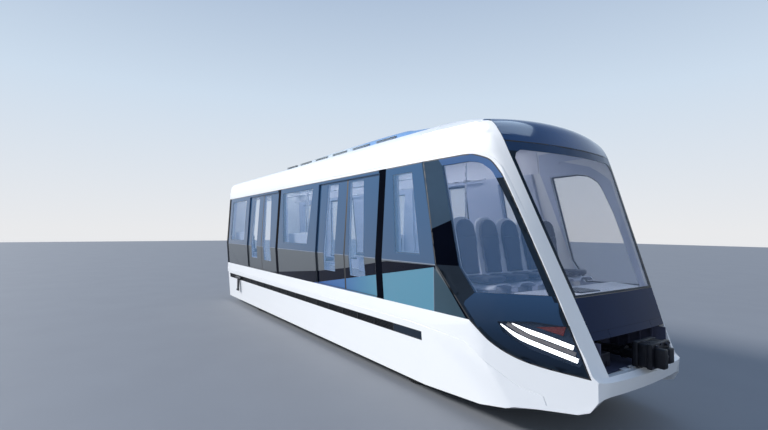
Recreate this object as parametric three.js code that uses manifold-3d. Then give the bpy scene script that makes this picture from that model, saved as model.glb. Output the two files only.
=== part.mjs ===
// Automated guideway people mover car with an open gangway at the rear and a raked glass nose.
// Millimetres. +X points to the nose, +Y to the left, +Z up. Stations run along X from the rear
// end frame's back face, and the whole group is moved so that the origin is at the middle of the
// car's length and width, on the running surface.
import * as THREE from 'three';
import { mergeVertices } from 'three/addons/utils/BufferGeometryUtils.js';
import Module from 'manifold-3d';

const wasm = await Module();
wasm.setup();

// Driving dimensions
const FIT = 0.3;                       // gap between pieces that touch
const REAR_FACE = -300;                // rear face of the gangway bellows
const COUPLER_TIP = 12340;             // foremost point of the front coupler
const CENTRE_X = (REAR_FACE + COUPLER_TIP) / 2;

const SKIRT_BOTTOM = 150;
const CREASE_Z = 977;
const SILL_Z = 1186;
const KNEE_Z = 1804;
const GLASS_TOP = 3200;
const ROOF_TOP = 3765;
const KNEE_HALF = 1301.5;              // half width at the knee line, the widest place

const SKIN = 8;                        // bonded glass skin on the sides
const LOWER_SKIN = 25;                 // painted lower panels
const SHELL = 60;                      // roof and nose shell
const WALL = 115;                      // whole side wall, outside to lining
const POCKET = [26, 76];               // depth range of the door pocket in the wall
const LEAF = [32, 70];                 // depth range of a door leaf

const END_FRAME = 80;                  // thickness of the rear end frame
const LOWER_END = 9860;                // lower side panels end, nose begins
const ROOF_END = 9900;                 // roof panel ends, nose hoop begins

const DOOR_TRAVEL = 930;
const DOOR_BOTTOM = 1200;
const DOOR_TOP = 3150;
const DOOR_LAP = 25;                   // leaf edge hidden behind the wall edge
const LEAF_GAP = 6;
const SEAM = 6;                        // gap between two closed leaves
// rear edge, seam and front edge of each doorway
const DOORS = [
  { name: 'rear', from: 2090, seam: 3200, to: 4320 },
  { name: 'front', from: 6510, seam: 7630, to: 8690 },
];

const AXLES = [{ name: 'rear', x: 2400 }, { name: 'front', x: 9300 }];
const TYRE_R = 430;
const TYRE_W = 250;
const TRACK_HALF = 900;                // wheel centre from the car's centre line
const GUIDE_R = 130;
const GUIDE_X = 800;
const GUIDE_Y = 240;
const GUIDE_Z = [60, 160];
const GUIDE_PIN = 30;
const RING_Z = 950;                    // top of the bogie turntable
const FLOOR_Z = [1085, SILL_Z - FIT];

// Colours
const paint = (color, metalness, roughness) =>
  new THREE.MeshStandardMaterial({ color, metalness, roughness });
const MATERIALS = {
  white: paint(0xeef0f4, 0.1, 0.3),
  grille: paint(0x11151c, 0.1, 0.4),
  glass: paint(0x3c4a5c, 0.0, 0.08),
  clear: paint(0x9fb0c4, 0.0, 0.05),
  navy: paint(0x26384e, 0.2, 0.25),
  gloss: paint(0x24406b, 0.3, 0.15),
  rubber: paint(0x17181a, 0.0, 0.9),
  steel: paint(0x3b3f45, 0.7, 0.5),
  lamp: paint(0xf4f7ff, 0.0, 0.3),
  grey: paint(0xa9acb4, 0.1, 0.6),
  seat: paint(0x3d4352, 0.0, 0.8),
  lining: paint(0xc9c8d6, 0.0, 0.6),
  rail: paint(0xb9bcc2, 0.8, 0.3),
};

// Turns a closed three.js geometry into a solid that can be cut and joined
function solidOf(geometry) {
  const bare = geometry.clone();
  bare.deleteAttribute('normal');
  bare.deleteAttribute('uv');
  const merged = mergeVertices(bare, 1e-3);
  const index = merged.index.array;
  const faces = [];
  for (let i = 0; i < index.length; i += 3) {
    const [a, b, c] = [index[i], index[i + 1], index[i + 2]];
    if (a !== b && b !== c && a !== c) faces.push(a, b, c);
  }
  return new wasm.Manifold(new wasm.Mesh({
    numProp: 3,
    vertProperties: new Float32Array(merged.attributes.position.array),
    triVerts: new Uint32Array(faces),
  }));
}

function geometryOf(solid) {
  const mesh = solid.getMesh();
  const geometry = new THREE.BufferGeometry();
  geometry.setAttribute('position', new THREE.BufferAttribute(mesh.vertProperties, 3));
  geometry.setIndex(new THREE.BufferAttribute(mesh.triVerts, 1));
  geometry.computeVertexNormals();
  return geometry;
}

const shapeOf = (points) => new THREE.Shape(points.map(([a, b]) => new THREE.Vector2(a, b)));
const extrude = (points, depth) =>
  new THREE.ExtrudeGeometry(shapeOf(points), { depth, bevelEnabled: false, steps: 1 });

// Prisms along each axis: the outline is (x, z), (y, z) or (x, y)
function prismY(outline, y0, y1) {
  return solidOf(extrude(outline, y1 - y0).rotateX(Math.PI / 2).translate(0, y1, 0));
}
const CYCLE = new THREE.Matrix4().set(0, 0, 1, 0, 1, 0, 0, 0, 0, 1, 0, 0, 0, 0, 0, 1);
function prismX(outline, x0, x1) {
  return solidOf(extrude(outline, x1 - x0).applyMatrix4(CYCLE).translate(x0, 0, 0));
}
function box(x0, x1, y0, y1, z0, z1) {
  const geometry = new THREE.BoxGeometry(x1 - x0, y1 - y0, z1 - z0);
  return solidOf(geometry.translate((x0 + x1) / 2, (y0 + y1) / 2, (z0 + z1) / 2));
}
function cylinderZ(x, y, z0, z1, radius, sides = 24) {
  const geometry = new THREE.CylinderGeometry(radius, radius, z1 - z0, sides);
  return solidOf(geometry.rotateX(Math.PI / 2).translate(x, y, (z0 + z1) / 2));
}
function cylinderY(x, z, y0, y1, radius, sides = 24) {
  const geometry = new THREE.CylinderGeometry(radius, radius, y1 - y0, sides);
  return solidOf(geometry.translate(x, (y0 + y1) / 2, z));
}
function cylinderX(y, z, x0, x1, radius, sides = 12) {
  const geometry = new THREE.CylinderGeometry(radius, radius, x1 - x0, sides);
  return solidOf(geometry.rotateZ(Math.PI / 2).translate((x0 + x1) / 2, y, z));
}
const join = (...solids) => solids.reduce((all, next) => all.add(next));
const rectangle = (a0, a1, b0, b1) => [[a0, b0], [a1, b0], [a1, b1], [a0, b1]];

// Moves every edge of a counter-clockwise loop inwards by depth (outwards when it is negative)
function insetLoop(loop, depth) {
  const count = loop.length;
  const edges = loop.map(([ax, ay], i) => {
    const [bx, by] = loop[(i + 1) % count];
    const length = Math.hypot(bx - ax, by - ay);
    const [tx, ty] = [(bx - ax) / length, (by - ay) / length];
    return { x: ax - ty * depth, y: ay + tx * depth, tx, ty };
  });
  return edges.map((edge, i) => {
    const before = edges[(i + count - 1) % count];
    const cross = before.tx * edge.ty - before.ty * edge.tx;
    if (Math.abs(cross) < 1e-6) return [edge.x, edge.y];
    const along = ((edge.x - before.x) * edge.ty - (edge.y - before.y) * edge.tx) / cross;
    return [before.x + before.tx * along, before.y + before.ty * along];
  });
}

// A closed solid through rings with the same number of points, with flat ends
function loft(rings) {
  const count = rings[0].length;
  const positions = rings.flat(2);
  const faces = [];
  for (let r = 0; r + 1 < rings.length; r += 1) {
    for (let i = 0; i < count; i += 1) {
      const [a, b] = [r * count + i, r * count + ((i + 1) % count)];
      faces.push(a, b, b + count, a, b + count, a + count);
    }
  }
  return { positions, faces, count };
}
function closeLoft({ positions, faces, count }, flat) {
  const last = positions.length / 3 - count;
  const corners = THREE.ShapeUtils.triangulateShape(flat(0), []);
  for (const [a, b, c] of corners) faces.push(c, b, a);
  for (const [a, b, c] of THREE.ShapeUtils.triangulateShape(flat(last), [])) {
    faces.push(last + a, last + b, last + c);
  }
  const geometry = new THREE.BufferGeometry();
  geometry.setAttribute('position', new THREE.Float32BufferAttribute(positions, 3));
  geometry.setIndex(faces);
  return solidOf(geometry);
}

// Body cross-section: half width and height, from the skirt to near the roof's middle
const SECTION = [
  [1190, SKIRT_BOTTOM], [1258, CREASE_Z], [1254, SILL_Z], [KNEE_HALF, KNEE_Z],
  [1226, GLASS_TOP], [1212, 3420], [1170, 3590], [1060, 3690], [800, 3738], [400, 3760],
];
function sectionLoop(depth) {
  const left = SECTION.map(([w, z]) => [w, z]);
  const right = SECTION.map(([w, z]) => [-w, z]).reverse();
  const loop = insetLoop([...left, [0, ROOF_TOP], ...right], depth);
  if (depth > 0) {
    loop[0] = [loop[0][0], SKIRT_BOTTOM - 200];
    loop[loop.length - 1] = [loop[loop.length - 1][0], SKIRT_BOTTOM - 200];
  }
  return loop;
}

// Nose facets: each starts at its bend line in the side and tapers forward, less with height
const BEND_X = 10117;                  // station where the bend line meets the knee line
const BEND_LINE = [[150, 11300], [977, 10747], [SILL_Z, 10675], [KNEE_Z, BEND_X], [GLASS_TOP, 9769],
  [3900, 9600]];
const TAPER = [[150, 0.36], [800, 0.33], [GLASS_TOP, 0.05], [3900, 0.05]];
const between = (a, b, t) => a + (b - a) * t;
// Value at a height from a table of height and value
function atHeight(table, z) {
  const above = table.findIndex(([height]) => height >= z);
  if (above <= 0) return table.at(above < 0 ? -1 : 0)[1];
  const [[z0, v0], [z1, v1]] = [table[above - 1], table[above]];
  return between(v0, v1, (z - z0) / (z1 - z0));
}
const SIDE_HALF = SECTION.map(([w, z]) => [z, w]);
const facetHalf = (x, z) =>
  atHeight(SIDE_HALF, z) - atHeight(TAPER, z) * (x - atHeight(BEND_LINE, z));
const FACET_STEPS = 6;                 // levels between the knee and the glass top
const FACET_LEVELS = [-600, 150, 563, 977, SILL_Z, 1495];
for (let i = 0; i <= FACET_STEPS; i += 1) {
  FACET_LEVELS.push(between(KNEE_Z, GLASS_TOP, i / FACET_STEPS));
}
FACET_LEVELS.push(3420, 3590, 4600);
const FACET_STATIONS = [9000, 9700, 10100, 10500, 10900, 11300, 11700, 12100, 13000];
const FACET_WIDE = 3000;
function taperSolid(depth) {
  const rings = FACET_LEVELS.map((z) => {
    const shift = depth * Math.hypot(1, atHeight(TAPER, z));
    const left = [[-2000, FACET_WIDE], ...FACET_STATIONS.map((x) => [x, facetHalf(x, z) - shift])];
    const right = left.map(([x, y]) => [x, -y]);
    return [...right, ...left.reverse()].map(([x, y]) => [x, y, z]);
  });
  return closeLoft(loft(rings), (start) => (start ? rings.at(-1) : rings[0])
    .map(([x, y]) => new THREE.Vector2(x, y)));
}

// Front profile, from the skirt round the nose to the roof: station and height on the centre line,
// station, half width and height at the pillar's inner edge, station and height at the shoulder,
// station, half width and height at the pillar's outer edge, station and height at the corner
const PROFILE = [
  // centre, inner edge, shoulder, outer edge, corner
  [[-2000, 100], [-2000, 740, 100], [-2000, 100], [-2000, 920, 100], [-2000, 100]],
  [[9300, 100], [9300, 740, 100], [9300, 100], [9300, 920, 100], [9300, 100]],
  [[9785, 150], [9785, 740, 150], [9785, 150], [9785, 920, 150], [9785, 150]],
  [[10790, 220], [10790, 740, 220], [10790, 220], [10790, 920, 220], [10790, 220]],
  [[11180, 302], [11180, 740, 302], [11180, 302], [11180, 920, 302], [11180, 302]],
  [[11560, 368], [11560, 740, 368], [11560, 368], [11560, 920, 368], [11350, 368]],
  [[11900, 575], [11900, 730, 570], [11905, 500], [11885, 940, 412], [11480, 390]],
  [[12040, 588], [12010, 720, 585], [12010, 530], [11985, 908, 456], [11590, 450]],
  [[12120, 602], [12085, 716, 602], [12075, 594], [12048, 880, 560], [11670, 550]],
  [[12165, 755], [12116, 714, 755], [12092, 757], [12042, 876, 760], [11700, 730]],
  [[12105, 790], [12072, 712, 791], [12046, 796], [12004, 873, 804], [11680, 860]],
  [[11775, 1566], [11770, 840, 1566], [11714, 1566], [11664, 968, 1566], [11295, 1566]],
  [[11530, 2320], [11473, 962, 2320], [11406, 2320], [11352, 1070, 2320], [10964, 2320]],
  [[11270, 3180], [11136, 1098, 3180], [11050, 3180], [10985, 1164, 3180], [10400, 3180]],
  [[11180, 3420], [11020, 1120, 3420], [10955, 3420], [10880, 1150, 3420], [10300, 3420]],
  [[11060, 3590], [10905, 1105, 3550], [10850, 3542], [10790, 1135, 3530], [10250, 3530]],
  [[10830, 3688], [10790, 1070, 3605], [10735, 3598], [10680, 1110, 3588], [10200, 3588]],
  [[10440, 3752], [10450, 1030, 3668], [10400, 3658], [10350, 1080, 3645], [10100, 3645]],
  [[10100, 3780], [10100, 1000, 3704], [10080, 3695], [10060, 1060, 3680], [9900, 3680]],
  [[9750, 3800], [9740, 980, 3742], [9730, 3736], [9720, 1040, 3730], [9650, 3725]],
  [[9400, 3900], [9400, 980, 3900], [9400, 3900], [9400, 1040, 3900], [9400, 3900]],
  [[-2000, 3900], [-2000, 980, 3900], [-2000, 3900], [-2000, 1040, 3900], [-2000, 3900]],
];
const OPEN_ROWS = 6;                   // rows along the skirt's lower edge, where a shell is open
const SHOULDER = 0.6;                  // the shoulder's place between the pillar's two edges
const CORNER = 1400;
const FOOT_ROW = 10;                   // the pillar's foot, on the bumper
const HEAD_ROW = 15;                   // the visor's upper edge
function frontSolid(depth) {
  const bulge = (part) => PROFILE.map(([[x0, z0], [x, y, z]]) =>
    [between(x0, x, part ** 2), y * part, between(z0, z, part ** 2)]);
  const half = [
    bulge(0), bulge(0.5), bulge(0.8), bulge(1),
    PROFILE.map(([, inner, [x, z], outer]) => [x, between(inner[1], outer[1], SHOULDER), z]),
    PROFILE.map(([, , , outer]) => outer),
    PROFILE.map(([, , , , [x, z]]) => [x, CORNER, z]),
  ];
  const mirrored = half.slice(1).map((ring) => ring.map(([x, y, z]) => [x, -y, z]));
  const all = [...half.reverse(), ...mirrored];
  const drop = depth > 0 ? 300 : 0;
  const rings = all.map((ring) => insetLoop(ring.map(([x, , z]) => [x, z]), depth)
    .map(([x, z], row) => [x, ring[row][1], row < OPEN_ROWS ? z - drop : z]));
  return closeLoft(loft(rings), (start) => (start ? rings[rings.length - 1] : rings[0])
    .map(([x, , z]) => new THREE.Vector2(x, z)));
}
// Half width of the glazed front at a height, between the pillars' inner edges
function frontHalf(z) {
  const edge = PROFILE.slice(FOOT_ROW, HEAD_ROW + 1).map(([, [, y, height]]) => [y, height]);
  const above = Math.max(1, edge.findIndex(([, height]) => height >= z));
  const [[y0, z0], [y1, z1]] = [edge[above - 1], edge[above]];
  return between(y0, y1, (z - z0) / (z1 - z0));
}
// Outline in front view between two heights, following both pillars
function frontOutline(z0, z1, margin = 0) {
  const bends = PROFILE.slice(FOOT_ROW, HEAD_ROW + 1).map(([, [, , z]]) => z);
  const heights = [z0, ...bends.filter((z) => z > z0 && z < z1), z1];
  const right = heights.map((z) => [frontHalf(z) - margin, z]);
  return [...right, ...right.map(([y, z]) => [-y, z]).reverse()];
}

// The whole body as a solid, its outer face moved inwards by depth
const bodies = new Map();
function body(depth) {
  if (!bodies.has(depth)) {
    const straight = prismX(sectionLoop(depth), 0, 13000);
    bodies.set(depth, straight.intersect(taperSolid(depth)).intersect(frontSolid(depth)));
  }
  return bodies.get(depth);
}
const shell = (outer, inner) => body(outer).subtract(body(inner));

// Pieces
const car = new THREE.Group();
car.position.x = -CENTRE_X;
function add(name, solid, material) {
  const mesh = new THREE.Mesh(geometryOf(solid), MATERIALS[material]);
  mesh.name = name;
  car.add(mesh);
}
const SIDES = [{ name: 'right', sign: -1 }, { name: 'left', sign: 1 }];
const sideRange = (sign, inner, outer) => (sign < 0 ? [-outer, -inner] : [inner, outer]);
const FAR = 1500;                      // beyond the widest place
const NEAR = 500;                      // nearer the centre line than any wall

// Outlines in side view (station, height)
const BEND_TOP = [9769, GLASS_TOP];
const BEND_KNEE = [BEND_X, KNEE_Z];
const BEND_SILL = [10675, SILL_Z];
const CAB_GLASS = [
  BEND_SILL, [10747, 1125], [10951, 972], [11206, 862], [11500, 803], [11990, 768],
  [11634, 1629], [11328, 2368], [11124, 2825], [11052, 2946], [10940, 3078], [10815, 3140],
  [10660, 3186], [10500, GLASS_TOP], BEND_TOP, BEND_KNEE,
];
const CAB_CLEAR = [
  [10714, 1506], [11578, 1556], [11190, 2493], [10978, 2895], [10870, 3005], [10638, 3100],
  [10143, 3100], [10476, 1808],
];
const LAMP_BOX = [
  [10994, 1225], [11088, 1092], [11360, 958], [11880, 852], [11922, 915], [11788, 1275],
  [11408, 1280],
];
// light bars along the lower edge: centre line and half thickness
const LAMP_BARS = [
  { line: [[11049, 1188], [11259, 1078], [11513, 1009], [11852, 930]], half: 33 },
  { line: [[11214, 1202], [11367, 1153], [11545, 1115], [11807, 1054]], half: 30 },
];
const MARKER = [[11441, 1210], [11713, 1160], [11741, 1259]];
const BAND = [[END_FRAME + FIT, SILL_Z], BEND_SILL, BEND_KNEE, BEND_TOP,
  [END_FRAME + FIT, GLASS_TOP]];
const WINDOWS = [
  rectangle(430, 1800, 1917, 3086),
  [[4820, 1940], [6090, 1940], [6250, 3090], [4590, 3090]],
  [[9220, 1917], [9790, 1917], [9530, 3086], [9050, 3086]],
];
const doorways = (sign, grow) => DOORS.map(({ from, to }) =>
  prismY(rectangle(from - grow, to + grow, DOOR_BOTTOM, DOOR_TOP), ...sideRange(sign, NEAR, FAR)));

// White lower side with its long slot, and the louvred grille behind it
const SLOT = rectangle(247, 9775, 749, 872);
const GRILLE = { from: 262, plain: 9100, bays: 17, rows: 3, rib: 12, z0: 755, z1: 866 };
const GRILLE_FACE = 9;                 // depth of the louvres' face
const GRILLE_BACK = 45;                // depth of the plate's back
const GRILLE_MARGIN = 4;               // louvres inside the slot
const GRILLE_LAP = 17;                 // plate beyond the slot
function louvres(range) {
  const { from, plain, bays, rows, rib, z0, z1 } = GRILLE;
  const [width, height] = [(plain - from) / bays, (z1 - z0) / rows];
  let face = prismY(insetLoop(SLOT, GRILLE_MARGIN), ...range);
  for (let bay = 0; bay < bays; bay += 1) {
    for (let row = 0; row < rows; row += 1) {
      const [x, z] = [from + bay * width, z0 + row * height];
      const gap = insetLoop(rectangle(x, x + width, z, z + height), rib / 2);
      face = face.subtract(prismY(gap, ...range));
    }
  }
  return face;
}
for (const { name, sign } of SIDES) {
  const range = sideRange(sign, NEAR, FAR);
  const panel = rectangle(END_FRAME + FIT, LOWER_END, SKIRT_BOTTOM - 50, SILL_Z - FIT);
  add(`lower_side_${name}`,
    shell(0, LOWER_SKIN).intersect(prismY(panel, ...range)).subtract(prismY(SLOT, ...range)),
    'white');
  const back = prismY(insetLoop(SLOT, -GRILLE_LAP), ...range);
  const plate = shell(LOWER_SKIN + FIT, GRILLE_BACK).intersect(back);
  const face = shell(GRILLE_FACE, LOWER_SKIN + 2 * FIT).intersect(louvres(range));
  add(`slot_grille_${name}`, plate.add(face), 'grille');
}

// Current collector arms, which reach out through the slot
const COLLECTOR_X = 1230;
// half length, inner and outer side, lower and upper edge
const COLLECTOR = [
  { half: 65, y: [1256, 1290], z: [430, 846] },      // arm
  { half: 250, y: [1256, 1290], z: [786, 846] },     // head
  { half: 95, y: [1263, 1300], z: [430, 480] },      // shoe
  { half: 120, y: [1200, 1262], z: [790, 830] },     // root
];
for (const { name, sign } of SIDES) {
  const blocks = COLLECTOR.map(({ half, y, z }) =>
    box(COLLECTOR_X - half, COLLECTOR_X + half, ...sideRange(sign, ...y), ...z));
  add(`collector_${name}`, join(...blocks).subtract(body(GRILLE_FACE - FIT)), 'steel');
}

// Side wall: frame with pockets, doorways and windows, and its bonded glass skin
const POCKET_REACH = DOOR_TRAVEL + DOOR_LAP + 12;
for (const { name, sign } of SIDES) {
  const range = sideRange(sign, NEAR, FAR);
  let frame = shell(SKIN + FIT, WALL).intersect(prismY(insetLoop(BAND, FIT), ...range));
  let skin = shell(0, SKIN).intersect(prismY(insetLoop(BAND, FIT), ...range));
  for (const { from, to } of DOORS) {
    const slot = rectangle(from - POCKET_REACH, to + POCKET_REACH, DOOR_BOTTOM, DOOR_TOP);
    frame = frame.subtract(shell(...POCKET).intersect(prismY(slot, ...range)));
  }
  for (const doorway of doorways(sign, 0)) {
    frame = frame.subtract(doorway);
    skin = skin.subtract(doorway);
  }
  for (const window of WINDOWS) frame = frame.subtract(prismY(window, ...range));
  add(`side_frame_${name}`, frame, 'lining');
  add(`side_glazing_${name}`, skin, 'glass');
}

// Door leaves with their bonded panes
const PANE = [46, 56];
const PANE_LAP = 3;                    // pane's edge inside the leaf
// window of each leaf: station from the doorway's seam, and height
const LEAF_WINDOWS = {
  back: [[-820, 1480], [-370, 1480], [-340, 3100], [-760, 3100]],
  fore: [[180, 1460], [690, 1460], [540, 3100], [80, 3100]],
};
for (const { name: door, from, seam, to } of DOORS) {
  for (const { name: side, sign } of SIDES) {
    const range = sideRange(sign, NEAR, FAR);
    const ends = [
      { end: 'back', x0: from - DOOR_LAP, x1: seam - SEAM / 2 },
      { end: 'fore', x0: seam + SEAM / 2, x1: to + DOOR_LAP },
    ];
    for (const { end, x0, x1 } of ends) {
      const outline = rectangle(x0, x1, DOOR_BOTTOM + LEAF_GAP, DOOR_TOP - FIT);
      const window = LEAF_WINDOWS[end].map(([x, z]) => [seam + x, z]);
      const blank = shell(...LEAF).intersect(prismY(outline, ...range));
      const pane = shell(...PANE).intersect(prismY(insetLoop(window, -PANE_LAP), ...range));
      const leaf = blank.subtract(prismY(window, ...range)).add(pane);
      add(`door_${door}_${side}_${end}`, leaf, 'glass');
    }
  }
}

// Roof and its raised fairing
const roofCut = box(END_FRAME + FIT, ROOF_END, -FAR, FAR, GLASS_TOP + FIT, 4000);
add('roof', shell(0, SHELL).intersect(roofCut), 'white');
const FAIRING = [[-700, 3700], [700, 3700], [670, 3850], [600, 3935], [420, 3950], [-420, 3950],
  [-600, 3935], [-670, 3850]];
const FAIRING_SIDE = [[2900, 3600], [9960, 3600], [9960, 3725], [9830, 3776], [9530, 3830],
  [9200, 3878], [8800, 3918], [8270, 3960], [6000, 3960], [4160, 3912], [3300, 3885],
  [3040, 3850], [2900, 3770]];
add('roof_fairing', prismX(FAIRING, 3000, 10100).intersect(prismY(FAIRING_SIDE, -FAR, FAR))
  .subtract(body(-FIT)), 'gloss');

// Nose: visor, windscreen, apron, coupler opening and the white shell around them
const AHEAD = [10300, 13000];
const MOUTH_Z = [794, 1127];
const APRON_Z = [1130, 1546];
const SCREEN_Z = [1549, 3287];
const VISOR_Z = 3290;
const VISOR_BACK = 10750;
const CROWN_HALF = 1060;               // half width of the visor where it meets the roof
const GLASS = 12;                      // windscreen and cab glass
const VISOR_SKIN = 25;
const APRON_SKIN = 20;
const LAMP_BED = [26, 40];             // depth ranges behind the cab glass
const LAMP_BAR = [14, 30];
const LAMP_MARKER = [18, 30];
const frontCut = (outline) => prismX(outline, ...AHEAD);
const visorTop = PROFILE[HEAD_ROW][1];
const crown = frontOutline(VISOR_Z, visorTop[2]);
crown.splice(crown.length / 2, 0, [CROWN_HALF, 4000], [-CROWN_HALF, 4000]);
const visorCut = (margin) => frontCut(insetLoop(crown, margin))
  .subtract(box(0, VISOR_BACK + margin, -FAR, FAR, 0, 4500));
add('windscreen', shell(0, GLASS).intersect(frontCut(frontOutline(...SCREEN_Z, 1))), 'clear');
add('visor', shell(0, VISOR_SKIN).intersect(visorCut(0)), 'gloss');
add('front_apron', shell(0, APRON_SKIN).intersect(frontCut(frontOutline(...APRON_Z, 1))), 'navy');
const noseRegion = prismY([[LOWER_END + FIT, 0], [13000, 0], [13000, 4000],
  [ROOF_END + FIT, 4000], [ROOF_END + FIT, GLASS_TOP + FIT], BEND_TOP, BEND_KNEE, BEND_SILL,
  [LOWER_END + FIT, SILL_Z]], -FAR, FAR);
let nose = shell(0, SHELL).intersect(noseRegion);
nose = nose.subtract(frontCut(frontOutline(MOUTH_Z[0], VISOR_Z, 1 - FIT)));
nose = nose.subtract(visorCut(-FIT));
const lampBar = ({ line, half }, range) => {
  const above = line.map(([x, z]) => [x, z + half]).reverse();
  return prismY([...line.map(([x, z]) => [x, z - half]), ...above], ...range)
    .intersect(shell(...LAMP_BAR));
};
const CAB_SIDE = 850;                  // the cab glass lies outside this half width
for (const { name, sign } of SIDES) {
  const range = sideRange(sign, CAB_SIDE, FAR);
  add(`cab_glass_${name}`, shell(0, GLASS).intersect(prismY(CAB_GLASS, ...range)), 'glass');
  nose = nose.subtract(prismY(insetLoop(CAB_GLASS, -FIT), ...range).subtract(body(GLASS + FIT)));
  nose = nose.subtract(prismY(CAB_CLEAR, ...range)).subtract(prismY(LAMP_BOX, ...range));
  let lamps = shell(...LAMP_BED).intersect(prismY(insetLoop(LAMP_BOX, FIT), ...range));
  for (const bar of LAMP_BARS) lamps = lamps.add(lampBar(bar, range));
  lamps = lamps.add(shell(...LAMP_MARKER).intersect(prismY(MARKER, ...range)));
  add(`headlamp_${name}`, lamps, 'lamp');
}
const aboveHeight = (z) => box(0, 14000, -FAR, FAR, z, 4500);
add('nose_hoop', nose.intersect(aboveHeight(SILL_Z)), 'white');
add('nose_skirt', nose.subtract(aboveHeight(SILL_Z - FIT)), 'white');

// Rear end frame with its gangway opening, and the bellows ring
const GANGWAY = rectangle(-650, 650, SILL_Z + 4, 3240);
const endBox = box(-10, END_FRAME, -FAR, FAR, 900, 4000);
add('rear_end_frame', body(0).intersect(endBox).subtract(prismX(GANGWAY, -50, 200)), 'white');
const BELLOWS_OUT = rectangle(-850, 850, 1060, 3420);
const BELLOWS_IN = rectangle(-660, 660, 1180, 3250);
add('gangway_bellows', prismX(BELLOWS_OUT, REAR_FACE, -FIT)
  .subtract(prismX(BELLOWS_IN, REAR_FACE - 50, 50)), 'grey');

// Floor and underframe
const floorSpan = (x0, x1) => box(x0, x1, -FAR, FAR, ...FLOOR_Z);
add('floor', join(body(LOWER_SKIN + FIT).intersect(floorSpan(END_FRAME + FIT, LOWER_END)),
  body(SHELL + FIT).intersect(floorSpan(LOWER_END - 1, 11500))), 'lining');
const SOLE = { y0: 1060, y1: 1160, z0: 900, z1: FLOOR_Z[0] - FIT };
const BEAM_Z = 980;                    // underside of the centre beam
const CROSS_Z = 960;                   // underside of the cross-members
const CROSS_W = 120;
const FRAME_ENDS = [200, 9700];
const CROSS_MEMBERS = [200, 3900, 7600, 9580];
const FRONT_PIVOT = [11400, 880];      // front coupler's swing pin: station and height
const REAR_PIVOT = [150, 735];
const beams = [
  box(...FRAME_ENDS, -SOLE.y1, -SOLE.y0, SOLE.z0, SOLE.z1),
  box(...FRAME_ENDS, SOLE.y0, SOLE.y1, SOLE.z0, SOLE.z1),
  box(FRAME_ENDS[0], FRONT_PIVOT[0] - 100, -260, 260, BEAM_Z, SOLE.z1),
];
for (const x of CROSS_MEMBERS) {
  beams.push(box(x, x + CROSS_W, -SOLE.y1, SOLE.y1, CROSS_Z, SOLE.z1));
}
for (const { x } of AXLES) {
  beams.push(cylinderZ(x, 0, RING_Z + FIT, RING_Z + 50, 420));
}
// coupler brackets: a hanger and a plate over the front pin, and a plate over the rear pin
beams.push(box(FRONT_PIVOT[0] - 400, FRONT_PIVOT[0] - 100, -300, 300, 700, BEAM_Z + 5));
beams.push(box(FRONT_PIVOT[0] - 300, FRONT_PIVOT[0] + 90, -150, 150, CROSS_Z + FIT, SOLE.z1));
beams.push(box(REAR_PIVOT[0] - 60, REAR_PIVOT[0] + 180, -120, 120, 790 + FIT, 1000));
add('underframe', join(...beams), 'steel');
add('equipment_boxes', join(box(3800, 7900, -980, 980, 360, CROSS_Z - FIT),
  box(3900, 7800, -1050, 1050, 420, 900)), 'steel');

// Bogies, wheels and guide wheels
const AXLE_R = 60;
const WHEEL_BORE = AXLE_R + 0.8;
// round parts along the axle: half length, radius and sides
const AXLE_PARTS = [
  { half: TRACK_HALF + 80, radius: AXLE_R, sides: 16 },   // axle
  { half: 730, radius: 95, sides: 12 },                   // axle tube
  { half: 190, radius: 210, sides: 16 },                  // final drive
];
// boxes of the bogie, from the axle's station and the centre line
const BOGIE_BOXES = [
  { x: [-120, 120], y: [-610, 610], z: [590, 760] },      // bolster
  { x: [-560, -180], y: [-205, 205], z: [345, 615] },     // motor
  { x: [-350, 350], y: [-640, -520], z: [470, 640] },     // spring beams
  { x: [-350, 350], y: [520, 640], z: [470, 640] },
  { x: [-950, 950], y: [-335, -245], z: [330, 440] },     // guide frame
  { x: [-950, 950], y: [245, 335], z: [330, 440] },
  { x: [-940, -840], y: [-320, 320], z: [340, 430] },
  { x: [840, 940], y: [-320, 320], z: [340, 430] },
];
const TURNTABLE = { z: [700, RING_Z], radius: 400 };
const AIR_SPRING = { y: 575, z: [620, 900], radius: 130 };
for (const { name, x } of AXLES) {
  const parts = [
    cylinderZ(x, 0, ...TURNTABLE.z, TURNTABLE.radius, 24),
    ...AXLE_PARTS.map(({ half, radius, sides }) =>
      cylinderY(x, TYRE_R, -half, half, radius, sides)),
    ...BOGIE_BOXES.map(({ x: [x0, x1], y, z }) => box(x + x0, x + x1, ...y, ...z)),
  ];
  for (const side of [-1, 1]) {
    parts.push(cylinderZ(x, side * AIR_SPRING.y, ...AIR_SPRING.z, AIR_SPRING.radius, 16));
    for (const dx of [-GUIDE_X, GUIDE_X]) {
      // pin through the guide wheel, and the leg above it
      parts.push(cylinderZ(x + dx, side * GUIDE_Y, GUIDE_Z[0] - 10, 360, GUIDE_PIN, 12));
      parts.push(cylinderZ(x + dx, side * GUIDE_Y, GUIDE_Z[1] + FIT, 350, 2 * GUIDE_PIN, 12));
    }
  }
  add(`bogie_${name}`, join(...parts), 'steel');
}
function lathe(profile, sides) {
  const points = profile.map(([r, h]) => new THREE.Vector2(r, h));
  return new THREE.LatheGeometry([...points, points[0].clone()], sides);
}
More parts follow.
